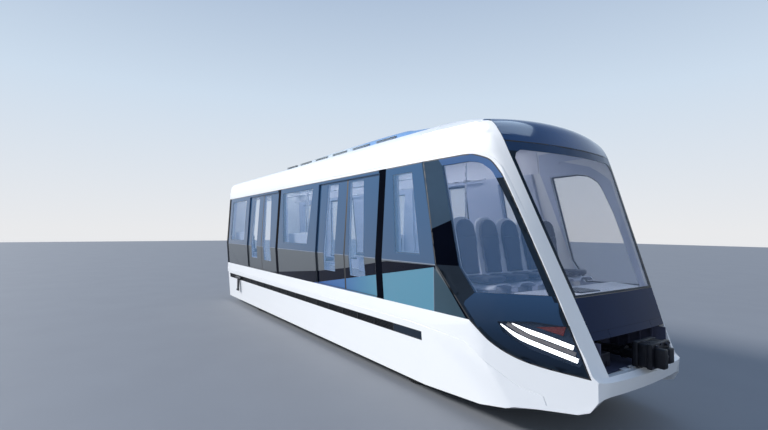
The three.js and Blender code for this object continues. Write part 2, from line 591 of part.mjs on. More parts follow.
// radius and place across the tyre, from the bore outwards
const WHEEL = [
  [WHEEL_BORE, -60], [150, -60], [150, -20], [235, -20], [250, -112], [400, -TYRE_W / 2],
  [TYRE_R, -85], [TYRE_R, 85], [400, TYRE_W / 2], [250, 112], [235, 30], [150, 30], [150, 80],
  [WHEEL_BORE, 80],
];
const GUIDE_WHEEL = [[GUIDE_PIN + 3, 0], [GUIDE_R - 8, 0], [GUIDE_R, 10], [GUIDE_R, 90],
  [GUIDE_R - 8, 100], [GUIDE_PIN + 3, 100]];
for (const { name, x } of AXLES) {
  for (const { name: side, sign } of SIDES) {
    const geometry = lathe(WHEEL, 28);
    if (sign < 0) geometry.rotateX(Math.PI);
    geometry.translate(x, sign * TRACK_HALF, TYRE_R);
    add(`wheel_${name}_${side}`, solidOf(geometry), 'rubber');
  }
  for (const [end, dx] of [['back', -GUIDE_X], ['fore', GUIDE_X]]) {
    for (const { name: side, sign } of SIDES) {
      const geometry = lathe(GUIDE_WHEEL, 16).rotateX(Math.PI / 2);
      geometry.translate(x + dx, sign * GUIDE_Y, GUIDE_Z[0]);
      add(`guide_wheel_${name}_${end}_${side}`, solidOf(geometry), 'rubber');
    }
  }
}

// Couplers: pin, shank and head in front, and a drawbar between two pins behind
const [frontX, frontZ] = FRONT_PIVOT;
const SHANK = [[frontX, frontZ - 50], [12060, 850], [12060, 950], [frontX, frontZ + 50]];
add('front_coupler', join(
  cylinderZ(frontX, 0, frontZ - 80, frontZ + 80, 90),
  prismY(SHANK, -70, 70),
  box(12040, 12240, -210, 210, 812, 1080),
  box(12200, COUPLER_TIP, -150, -60, 830, 1040),
  box(12200, COUPLER_TIP - 40, 60, 170, 850, 1010),
), 'steel');
const [rearX, rearZ] = REAR_PIVOT;
add('rear_drawbar', join(
  cylinderZ(rearX, 0, rearZ - 55, rearZ + 55, 80),
  box(REAR_FACE + 20, rearX, -60, 60, rearZ - 45, rearZ + 45),
  cylinderZ(REAR_FACE + 100, 0, rearZ - 75, rearZ + 75, 75),
), 'steel');

// Seats, console and handrails
const SEAT_SIDE = [[10300, 1560], [10860, 1580], [10880, 1640], [10820, 1680], [10370, 1670],
  [10290, 1900], [10240, 2380], [10200, 2430], [10150, 2410], [10140, 2300], [10180, 1800],
  [10220, 1620]];
const seats = [box(10330, 10700, -1020, 1020, SILL_Z, 1300)];
for (const y of [-880, -440, 0, 440, 880]) {
  seats.push(prismY(SEAT_SIDE, y - 200, y + 200));
  seats.push(box(10380, 10640, y - 60, y + 60, 1280, 1600));
}
add('front_seats', join(...seats), 'seat');
const CONSOLE = [[11080, SILL_Z], [11860, SILL_Z], [11700, 1545], [11180, 1545]];
add('console', prismY(CONSOLE, -1050, 1050).intersect(body(SHELL + 2)), 'lining');
for (const [place, x0, x1] of [['rear', 320, 1960], ['middle', 4640, 6240]]) {
  for (const { name, sign } of SIDES) {
    const section = [[700, 1560], [1080, 1560], [1110, 2150], [1060, 2150], [1010, 1680],
      [690, 1665], [670, 1600]].map(([w, z]) => [w * sign, z]);
    const foot = box(x0 + 60, x1 - 60, ...sideRange(sign, 800, 1040), SILL_Z, 1565);
    add(`bench_${place}_${name}`, prismX(section, x0, x1).add(foot), 'seat');
  }
}
const RAIL_R = 17;
const RAIL_Z = 3120;
const RAIL_Y = 520;
const POLE_TOP = 3691;                 // meets the ceiling
for (const { name, sign } of SIDES) {
  const rails = [cylinderX(sign * RAIL_Y, RAIL_Z, 1200, 9300, RAIL_R, 8)];
  for (const x of [2000, 4440, 6440, 8840]) {
    rails.push(cylinderZ(x, sign * RAIL_Y, SILL_Z, POLE_TOP, RAIL_R, 8));
  }
  add(`handrail_${name}`, join(...rails), 'rail');
}

export default car;
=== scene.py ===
# Looks of the automated guideway people mover car, in metres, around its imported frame.
# +X points to the nose, +Y to the left, +Z up. Stations run along X from the rear end frame's
# back face, and at() turns a station into the frame's own X.
import math

import bpy
import bmesh
from mathutils import Matrix, Vector


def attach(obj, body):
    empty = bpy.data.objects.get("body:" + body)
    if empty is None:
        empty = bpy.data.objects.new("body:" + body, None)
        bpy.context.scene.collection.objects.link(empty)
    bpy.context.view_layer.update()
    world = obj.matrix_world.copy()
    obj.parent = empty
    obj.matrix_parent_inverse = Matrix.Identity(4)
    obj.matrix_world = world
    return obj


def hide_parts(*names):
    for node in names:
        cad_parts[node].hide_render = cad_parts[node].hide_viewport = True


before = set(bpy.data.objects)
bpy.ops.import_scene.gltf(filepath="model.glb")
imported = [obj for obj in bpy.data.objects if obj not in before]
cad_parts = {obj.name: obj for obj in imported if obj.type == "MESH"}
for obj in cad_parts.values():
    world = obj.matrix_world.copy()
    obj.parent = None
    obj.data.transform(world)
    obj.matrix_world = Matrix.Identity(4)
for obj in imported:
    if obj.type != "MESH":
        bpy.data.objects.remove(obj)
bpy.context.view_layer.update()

# Driving dimensions
CENTRE = 6.020                          # station of the frame's origin
FIT = 0.0003                            # gap between pieces that touch
SKIRT_BOTTOM = 0.150
CREASE_Z = 0.977
SILL_Z = 1.186
KNEE_Z = 1.804
GLASS_TOP = 3.200
ROOF_TOP = 3.765
KNEE_HALF = 1.3015
END_FRAME = 0.080
LOWER_END = 9.860
ROOF_END = 9.900
REAR_FACE = -0.300
SHELL = 0.060
SKIN = 0.008
LOWER_SKIN = 0.025
GLASS = 0.012
LEAF = (0.032, 0.070)                   # depth range of a door leaf
LEAF_GLASS = 0.006
TYRE_R = 0.430
FAR = 1.5                               # beyond either side of the car
AHEAD = (10.3, 13)                      # stations round the whole front
NEAR = 0.5                              # half of the car left out of a side panel
CAB_NEAR = 0.8
SIDES = (("right", -1), ("left", 1))
DOORS = (("rear", 2.090, 3.200, 4.320), ("front", 6.510, 7.630, 8.690))
DOOR_LOW, DOOR_HIGH = 1.200, 3.150
AXLES = (("rear", 2.400), ("front", 9.300))

# Camera: place, heading, tilt and roll fitted to the photograph
CAMERA_PLACE = Vector((8.430, -5.062, 2.2475))
CAMERA_YAW = 0.972658
CAMERA_PITCH = 0.034319
CAMERA_ROLL = 0.006371
CAMERA_LENS_MM = 20.52
SENSOR_MM = 36


def at(station):
    return station - CENTRE


def linked(piece):
    bpy.context.scene.collection.objects.link(piece)
    return piece


def add_camera():
    yaw, pitch, roll = CAMERA_YAW, CAMERA_PITCH, CAMERA_ROLL
    ahead = Vector((-math.sin(yaw) * math.cos(pitch), math.cos(yaw) * math.cos(pitch), math.sin(pitch)))
    level = Vector((math.cos(yaw), math.sin(yaw), 0))
    up = level.cross(ahead)
    right = level * math.cos(roll) + up * math.sin(roll)
    above = up * math.cos(roll) - level * math.sin(roll)
    data = bpy.data.cameras.new("camera")
    data.sensor_width = SENSOR_MM
    data.lens = CAMERA_LENS_MM
    camera = linked(bpy.data.objects.new("camera", data))
    turn = Matrix((right, above, -ahead)).transposed().to_4x4()
    camera.matrix_world = Matrix.Translation(CAMERA_PLACE) @ turn
    bpy.context.scene.camera = camera


# Mesh tools

WELD = 1e-5
PARALLEL = 1e-6
MIRROR = Matrix.Diagonal((1, -1, 1, 1))
AXIS_TURN = {"Z": Matrix.Identity(4), "Y": Matrix.Rotation(-math.pi / 2, 4, "X"),
             "X": Matrix.Rotation(math.pi / 2, 4, "Y")}


def new_mesh(name, points, faces):
    mesh = bpy.data.meshes.new(name)
    mesh.from_pydata([tuple(point) for point in points], [], faces)
    mesh.update()
    return mesh


def reworked(mesh, work_on):
    """Runs a function on the mesh as a bmesh."""
    work = bmesh.new()
    work.from_mesh(mesh)
    work_on(work)
    work.to_mesh(mesh)
    work.free()
    return mesh


def weld(work):
    bmesh.ops.remove_doubles(work, verts=work.verts, dist=WELD)
    bmesh.ops.recalc_face_normals(work, faces=work.faces)


def loft(rings, closed=False):
    """A closed solid through rings with the same number of points, with flat ends or as a ring."""
    count = len(rings[0])
    points = [point for ring in rings for point in ring]
    faces = []
    for r in range(len(rings) if closed else len(rings) - 1):
        after = (r + 1) % len(rings)
        for i in range(count):
            j = (i + 1) % count
            faces.append((r * count + i, r * count + j, after * count + j, after * count + i))
    if not closed:
        last = (len(rings) - 1) * count
        faces += [tuple(reversed(range(count))), tuple(range(last, last + count))]
    return reworked(new_mesh("solid", points, faces), weld)


def rectangle(a0, a1, b0, b1):
    return [(a0, b0), (a1, b0), (a1, b1), (a0, b1)]


def prism(outline, axis, low, high):
    """Outline is (x, z) for axis Y, (y, z) for X and (x, y) for Z, x as a station."""
    place = {"Y": lambda a, b, along: (at(a), along, b),
             "X": lambda a, b, along: (at(along), a, b),
             "Z": lambda a, b, along: (at(a), b, along)}[axis]
    return loft([[place(a, b, along) for a, b in outline] for along in (low, high)])


def through(outline):
    """A side-view outline as a solid right through the car."""
    return prism(outline, "Y", -FAR, FAR)


def head_on(outline):
    """A front-view outline as a solid through the whole front."""
    return prism(outline, "X", *AHEAD)


def block(x0, x1, y0, y1, z0, z1, round_by=0.0):
    """A box, with rounded edges if asked."""
    mesh = prism(rectangle(x0, x1, *sorted((y0, y1))), "Z", z0, z1)
    if round_by:
        reworked(mesh, lambda work: bmesh.ops.bevel(
            work, geom=work.edges, offset=round_by, segments=3, profile=0.5, affect="EDGES"))
    return mesh


def blocks(rows, x=0.0, y=0.0, sign=1):
    """Boxes from rows of x0, x1, y0, y1, z0, z1 and rounding, from a station and on a side."""
    return [block(x + x0, x + x1, y + sign * y0, y + sign * y1, z0, z1, round_by)
            for x0, x1, y0, y1, z0, z1, round_by in rows]


def lathe(profile, steps, middle=(0, 0, 0), axis="Z"):
    """Solid of revolution of a closed (radius, height) profile about an axis through middle."""
    turns = [2 * math.pi * k / steps for k in range(steps)]
    rings = [[(r * math.cos(turn), r * math.sin(turn), h) for r, h in profile] for turn in turns]
    mesh = loft(rings, closed=True)
    mesh.transform(Matrix.Translation(middle) @ AXIS_TURN[axis])
    return mesh


def disc(radius, low, high, steps=24, middle=(0, 0, 0), axis="Z"):
    return lathe([(0, low), (radius, low), (radius, high), (0, high)], steps, middle, axis)


def rod(path, radius, sides=12):
    """A round bar along points in frame coordinates."""
    points = [Vector(point) for point in path]
    rings = []
    for i, point in enumerate(points):
        turn = (points[min(i + 1, len(points) - 1)] - points[max(i - 1, 0)]).to_track_quat("Z", "Y")
        rings.append([point + turn @ Vector((radius * math.cos(t), radius * math.sin(t), 0))
                      for t in (2 * math.pi * k / sides for k in range(sides))])
    return loft(rings)


def gathered(*meshes):
    """One mesh holding all the given meshes."""
    work = bmesh.new()
    for mesh in meshes:
        work.from_mesh(mesh)
    result = bpy.data.meshes.new("gathered")
    work.to_mesh(result)
    work.free()
    return result


def copied(mesh, *matrices):
    """One mesh with a copy at each matrix."""
    copies = []
    for matrix in matrices:
        copy = mesh.copy()
        copy.transform(matrix)
        if matrix.determinant() < 0:
            copy.flip_normals()
        copies.append(copy)
    return gathered(*copies)


def turned(mesh, count, axis):
    """One mesh with copies spread evenly round an axis."""
    return copied(mesh, *[Matrix.Rotation(2 * math.pi * k / count, 4, axis) for k in range(count)])


def evaluated(piece):
    return bpy.data.meshes.new_from_object(piece.evaluated_get(bpy.context.evaluated_depsgraph_get()))


def combine(first, second, operation):
    """A boolean of two closed meshes as a new mesh."""
    base, tool = (linked(bpy.data.objects.new("solid", mesh)) for mesh in (first, second))
    modifier = base.modifiers.new("cut", "BOOLEAN")
    modifier.operation = operation
    modifier.solver = "MANIFOLD"
    modifier.object = tool
    result = evaluated(base)
    for each in (base, tool):
        bpy.data.objects.remove(each)
    return result


def cut(first, *others):
    for other in others:
        first = combine(first, other, "DIFFERENCE")
    return first


def keep(first, *others):
    for other in others:
        first = combine(first, other, "INTERSECT")
    return first


def divide(skin, *outlines, axis="Y", low=-FAR, high=FAR):
    """What lies inside each outline in turn, and the rest."""
    parts = []
    for outline in outlines:
        tool = prism(outline, axis, low, high)
        parts.append(keep(skin, tool))
        skin = cut(skin, tool)
    return parts, skin


def inset_loop(loop, depth):
    """Moves every edge of a counter-clockwise loop inwards by depth."""
    edges = []
    for i, (ax, ay) in enumerate(loop):
        bx, by = loop[(i + 1) % len(loop)]
        length = math.hypot(bx - ax, by - ay)
        tx, ty = (bx - ax) / length, (by - ay) / length
        edges.append((ax - ty * depth, ay + tx * depth, tx, ty))
    moved = []
    for i, (x, y, tx, ty) in enumerate(edges):
        px, py, ptx, pty = edges[i - 1]
        cross = ptx * ty - pty * tx
        if abs(cross) < PARALLEL:
            moved.append((x, y))
            continue
        along = ((x - px) * ty - (y - py) * tx) / cross
        moved.append((px + ptx * along, py + pty * along))
    return moved


def mirrored(half):
    """A closed outline from its half at positive u."""
    return half + [(-u, v) for u, v in reversed(half)]


def between(a, b, t):
    return a + (b - a) * t


def band(path, half, start=None):
    """Outline of a line of a given half width, which may grow to it over the first third from start."""
    out = []
    for i, (x, z) in enumerate(path):
        ax, az = path[max(i - 1, 0)]
        bx, bz = path[min(i + 1, len(path) - 1)]
        wide = half if start is None else between(start, half, min(1.0, 3 * i / len(path)))
        wide /= math.hypot(bx - ax, bz - az)
        out.append((x, z, (bz - az) * wide, -(bx - ax) * wide))
    return [(x + nx, z + nz) for x, z, nx, nz in out] + [(x - nx, z - nz) for x, z, nx, nz in reversed(out)]


def spline(points, steps):
    """Catmull-Rom curve through points of any dimension, open ended."""
    last = len(points) - 1
    out = []
    for i in range(last):
        ends = points[max(i - 1, 0)], points[i], points[i + 1], points[min(i + 2, last)]
        for k in range(steps):
            t = k / steps
            out.append(tuple(b + 0.5 * ((c - a) * t + (2 * a - 5 * b + 4 * c - d) * t * t
                                        + (3 * b - a - 3 * c + d) * t ** 3) for a, b, c, d in zip(*ends)))
    return out + [tuple(points[-1])]


def at_height(table, z):
    """Value at a height from a table of height and value."""
    if z <= table[0][0]:
        return table[0][1]
    for (z0, v0), (z1, v1) in zip(table, table[1:]):
        if z <= z1:
            return between(v0, v1, (z - z0) / (z1 - z0))
    return table[-1][1]


# Body form: cross-section, nose facets and front profile, as in the frame

STRAIGHT_SIDE = [(1.190, SKIRT_BOTTOM), (1.258, CREASE_Z), (1.254, SILL_Z), (KNEE_HALF, KNEE_Z)]
ROOF_CURVE = [(1.226, GLASS_TOP), (1.212, 3.420), (1.170, 3.590), (1.060, 3.690), (0.800, 3.738),
              (0.400, 3.760), (0, ROOF_TOP)]
CURVE_STEPS = 4
OPEN_DROP = 0.2                         # how far below the skirt an inner face goes
BEND_KNEE = (10.117, KNEE_Z)
BEND_TOP = (9.769, GLASS_TOP)
BEND_SILL = (10.675, SILL_Z)
BEND_LINE = [(0.150, 11.300), (CREASE_Z, 10.747)] + [(z, x) for x, z in (BEND_SILL, BEND_KNEE, BEND_TOP)] + [
    (3.900, 9.600)]
TAPER = [(0.150, 0.36), (0.800, 0.33), (GLASS_TOP, 0.05), (3.900, 0.05)]
SIDE_HALF = [(z, y) for y, z in STRAIGHT_SIDE + ROOF_CURVE]
FACET_STEPS = 10
FACET_LEVELS = [-0.6, 0.150, 0.563, CREASE_Z, SILL_Z, 1.495] + [
    between(KNEE_Z, GLASS_TOP, i / FACET_STEPS) for i in range(FACET_STEPS + 1)] + [3.420, 3.590, 4.600]
FACET_STATIONS = (9.0, 9.7, 10.1, 10.3, 10.5, 10.7, 10.9, 11.1, 11.3, 11.5, 11.7, 12.1, 13.0)


def section_loop(depth):
    left = STRAIGHT_SIDE + spline(ROOF_CURVE, CURVE_STEPS)[:-1]
    loop = inset_loop(left + [(0, ROOF_TOP)] + [(-y, z) for y, z in reversed(left)], depth)
    if depth > 0:
        loop[0] = (loop[0][0], SKIRT_BOTTOM - OPEN_DROP)
        loop[-1] = (loop[-1][0], SKIRT_BOTTOM - OPEN_DROP)
    return loop


def facet_half(x, z):
    return at_height(SIDE_HALF, z) - at_height(TAPER, z) * (x - at_height(BEND_LINE, z))


def taper_solid(depth):
    rings = []
    for z in FACET_LEVELS:
        shift = depth * math.hypot(1, at_height(TAPER, z))
        left = [(-2, 3)] + [(x, facet_half(x, z) - shift) for x in FACET_STATIONS]
        rings.append([(at(x), -y, z) for x, y in left] + [(at(x), y, z) for x, y in reversed(left)])
    return loft(rings)


# Front profile: centre x z, inner edge x y z, shoulder x z, outer edge x y z, corner x z
LOW_ROWS = [(-2.0, 0.100), (9.300, 0.100), (9.785, 0.150), (10.790, 0.220), (11.180, 0.302)]
TOP_ROWS = [(9.400, 3.900), (-2.0, 3.900)]
PROFILE = [[(x, z), (x, 0.740, z), (x, z), (x, 0.920, z), (x, z)] for x, z in LOW_ROWS] + [
    [(11.560, 0.368), (11.560, 0.740, 0.368), (11.560, 0.368), (11.560, 0.920, 0.368), (11.350, 0.368)],
    [(11.900, 0.575), (11.900, 0.730, 0.570), (11.905, 0.500), (11.885, 0.940, 0.412), (11.480, 0.390)],
    [(12.040, 0.588), (12.010, 0.720, 0.585), (12.010, 0.530), (11.985, 0.908, 0.456), (11.590, 0.450)],
    [(12.120, 0.602), (12.085, 0.716, 0.602), (12.075, 0.594), (12.048, 0.880, 0.560), (11.670, 0.550)],
    [(12.165, 0.755), (12.116, 0.714, 0.755), (12.092, 0.757), (12.042, 0.876, 0.760), (11.700, 0.730)],
    [(12.105, 0.790), (12.072, 0.712, 0.791), (12.046, 0.796), (12.004, 0.873, 0.804), (11.680, 0.860)],
    [(11.775, 1.566), (11.770, 0.840, 1.566), (11.714, 1.566), (11.664, 0.968, 1.566), (11.295, 1.566)],
    [(11.530, 2.320), (11.473, 0.962, 2.320), (11.406, 2.320), (11.352, 1.070, 2.320), (10.964, 2.320)],
    [(11.270, 3.180), (11.136, 1.098, 3.180), (11.050, 3.180), (10.985, 1.164, 3.180), (10.400, 3.180)],
    [(11.180, 3.420), (11.020, 1.120, 3.420), (10.955, 3.420), (10.880, 1.150, 3.420), (10.300, 3.420)],
    [(11.060, 3.590), (10.905, 1.105, 3.550), (10.850, 3.542), (10.790, 1.135, 3.530), (10.250, 3.530)],
    [(10.830, 3.688), (10.790, 1.070, 3.605), (10.735, 3.598), (10.680, 1.110, 3.588), (10.200, 3.588)],
    [(10.440, 3.752), (10.450, 1.030, 3.668), (10.400, 3.658), (10.350, 1.080, 3.645), (10.100, 3.645)],
    [(10.100, 3.780), (10.100, 1.000, 3.704), (10.080, 3.695), (10.060, 1.060, 3.680), (9.900, 3.680)],
    [(9.750, 3.800), (9.740, 0.980, 3.742), (9.730, 3.736), (9.720, 1.040, 3.730), (9.650, 3.725)],
] + [[(x, z), (x, 0.980, z), (x, z), (x, 1.040, z), (x, z)] for x, z in TOP_ROWS]
OPEN_ROWS = 6                           # rows along the skirt's lower edge, where a shell is open
FRONT_DROP = 0.3
SMOOTH_ROWS = (10, 19)
FOOT_ROW, HEAD_ROW = 10, 15
ROW_STEPS = 3
SHOULDER = 0.6
CORNER = 1.400
BULGE_PARTS = (0, 0.2, 0.4, 0.6, 0.8, 1)
INNER_EDGE = [row[1] for row in PROFILE[FOOT_ROW:HEAD_ROW + 1]]


def front_rings():
    """Rings from the left corner to the right one, each a list of (x, y, z) down the rows."""
    half = []
    for part in BULGE_PARTS:
        half.append([(between(centre[0], x, part ** 2), y * part, between(centre[1], z, part ** 2))
                     for centre, (x, y, z), *_ in PROFILE])
    half.append([(row[2][0], between(row[1][1], row[3][1], SHOULDER), row[2][1]) for row in PROFILE])
    half.append([row[3] for row in PROFILE])
    half.append([(row[4][0], CORNER, row[4][1]) for row in PROFILE])
    low, high = SMOOTH_ROWS
    rings = [ring[:low] + spline(ring[low:high + 1], ROW_STEPS) + ring[high + 1:] for ring in half]
    return rings[::-1] + [[(x, -y, z) for x, y, z in ring] for ring in rings[1:]]


def front_solid(depth):
    drop = FRONT_DROP if depth > 0 else 0
    solid = []
    for ring in front_rings():
        moved = inset_loop([(x, z) for x, _, z in ring], depth)
        solid.append([(at(x), ring[row][1], z - drop if row < OPEN_ROWS else z)
                      for row, (x, z) in enumerate(moved)])
    return loft(solid)


BODIES = {}


def body(depth):
    """The whole body as a solid, its outer face moved inwards by depth."""
    if depth not in BODIES:
        straight = prism(section_loop(depth), "X", 0, 13)
        BODIES[depth] = keep(straight, taper_solid(depth), front_solid(depth))
    return BODIES[depth]


def shell(outer, inner):
    return cut(body(outer), body(inner))


def front_half(z):
    """Half width of the glazed front between the pillars' inner edges."""
    return at_height([(z, y) for _, y, z in INNER_EDGE], z)


def reach(sign, near=NEAR):
    return (-FAR, -near) if sign < 0 else (near, FAR)


def panel(outline, sign, depths, near=NEAR):
    """Part of the body's skin between two depths, inside a side-view outline, on one side."""
    return keep(shell(*depths), prism(outline, "Y", *reach(sign, near)))


def border(outline, sign, depths, outer, inner):
    """A frame between two insets of an outline."""
    return cut(panel(inset_loop(outline, outer), sign, depths), through(inset_loop(outline, inner)))


# Materials

MOTTLE_SPAN = (0.35, 0.65)
UNEVEN_SPAN = (0.3, 0.7)


class Finish:
    """A Principled material with helpers that add noise, bump and gradients by object position."""

    def __init__(self, name, slot, colour, rough, metal, specular, coat, alpha, mottle, uneven, grain):
        self.slot = slot
        self.colour = colour
        self.material = bpy.data.materials.new(name)
        self.material.use_nodes = True
        self.tree = self.material.node_tree
        self.shader = self.tree.nodes["Principled BSDF"]
        self.bumped = None
        self.set(Base_Color=(*colour, 1), Roughness=rough, Metallic=metal, Alpha=alpha)
        if specular is not None:
            self.set(Specular_IOR_Level=specular)
        if coat is not None:
            self.set(Coat_Weight=coat[0], Coat_Roughness=coat[1])
        for helper, values in ((self.mottle, mottle), (self.uneven, uneven), (self.grain, grain)):
            if values is not None:
                helper(*values)

    def set(self, **sockets):
        for socket, value in sockets.items():
            self.shader.inputs[socket.replace("_", " ")].default_value = value

    def node(self, kind, **values):
        made = self.tree.nodes.new(kind)
        for name, value in values.items():
            socket = name.replace("_", " ")
            if socket in made.inputs.keys():
                made.inputs[socket].default_value = value
            else:
                setattr(made, name, value)
        return made

    def link(self, source, target):
        self.tree.links.new(source, target)

    def position(self, stretch=(1, 1, 1)):
        """Object coordinates, which are the frame's own metres, stretched along an axis."""
        mapping = self.node("ShaderNodeMapping", Scale=stretch)
        self.link(self.node("ShaderNodeTexCoord").outputs["Object"], mapping.inputs["Vector"])
        return mapping.outputs["Vector"]

    def noise(self, scale, detail, stretch=(1, 1, 1)):
        made = self.node("ShaderNodeTexNoise", Scale=scale, Detail=detail)
        self.link(self.position(stretch), made.inputs["Vector"])
        return made.outputs["Fac"]

    def ramp(self, factor, stops):
        made = self.node("ShaderNodeValToRGB")
        fill_ramp(made.color_ramp, stops)
        self.link(factor, made.inputs["Fac"])
        self.link(made.outputs["Color"], self.shader.inputs["Base Color"])

    def map_range(self, factor, low, high, to_low=0.0, to_high=1.0):
        made = self.node("ShaderNodeMapRange", From_Min=low, From_Max=high, To_Min=to_low, To_Max=to_high)
        self.link(factor, made.inputs["Value"])
        return made.outputs["Result"]

    def mottle(self, scale, amount, stretch=(1, 1, 1)):
        """Colour that varies a little over the surface."""
        colours = [[min(c * (1 + part), 1) for c in self.colour] for part in (-amount, amount)]
        self.ramp(self.noise(scale, 5, stretch), list(zip(MOTTLE_SPAN, colours)))

    def uneven(self, scale, low, high, stretch=(1, 1, 1)):
        """Gloss that varies a little over the surface."""
        self.link(self.map_range(self.noise(scale, 3, stretch), *UNEVEN_SPAN, low, high),
                  self.shader.inputs["Roughness"])

    def bump(self, height, distance):
        made = self.node("ShaderNodeBump", Strength=1.0, Distance=distance)
        self.link(height, made.inputs["Height"])
        if self.bumped is not None:
            self.link(self.bumped, made.inputs["Normal"])
        self.bumped = made.outputs["Normal"]
        self.link(self.bumped, self.shader.inputs["Normal"])

    def grain(self, scale, distance):
        self.bump(self.noise(scale, 4), distance)

    def weave(self, scale, distance):
        """Two crossed sets of threads."""
        for direction in ("X", "Z"):
            threads = self.node("ShaderNodeTexWave", Scale=scale, Distortion=0.6, bands_direction=direction)
            self.link(self.position(), threads.inputs["Vector"])
            self.bump(threads.outputs["Fac"], distance)

    def along(self, axis, low, high, *stops):
        """Base colour by place along an axis, from low to high."""
        parts = self.node("ShaderNodeSeparateXYZ")
        self.link(self.position(), parts.inputs["Vector"])
        self.ramp(self.map_range(parts.outputs[axis], low, high), stops)

    def glow(self, colour, strength):
        self.set(Emission_Color=(*colour, 1), Emission_Strength=strength)


def fill_ramp(ramp, stops):
    while len(ramp.elements) < len(stops):
        ramp.elements.new(0.5)
    for element, (place, colour) in zip(ramp.elements, stops):
        element.position = place
        element.color = (*colour, 1)


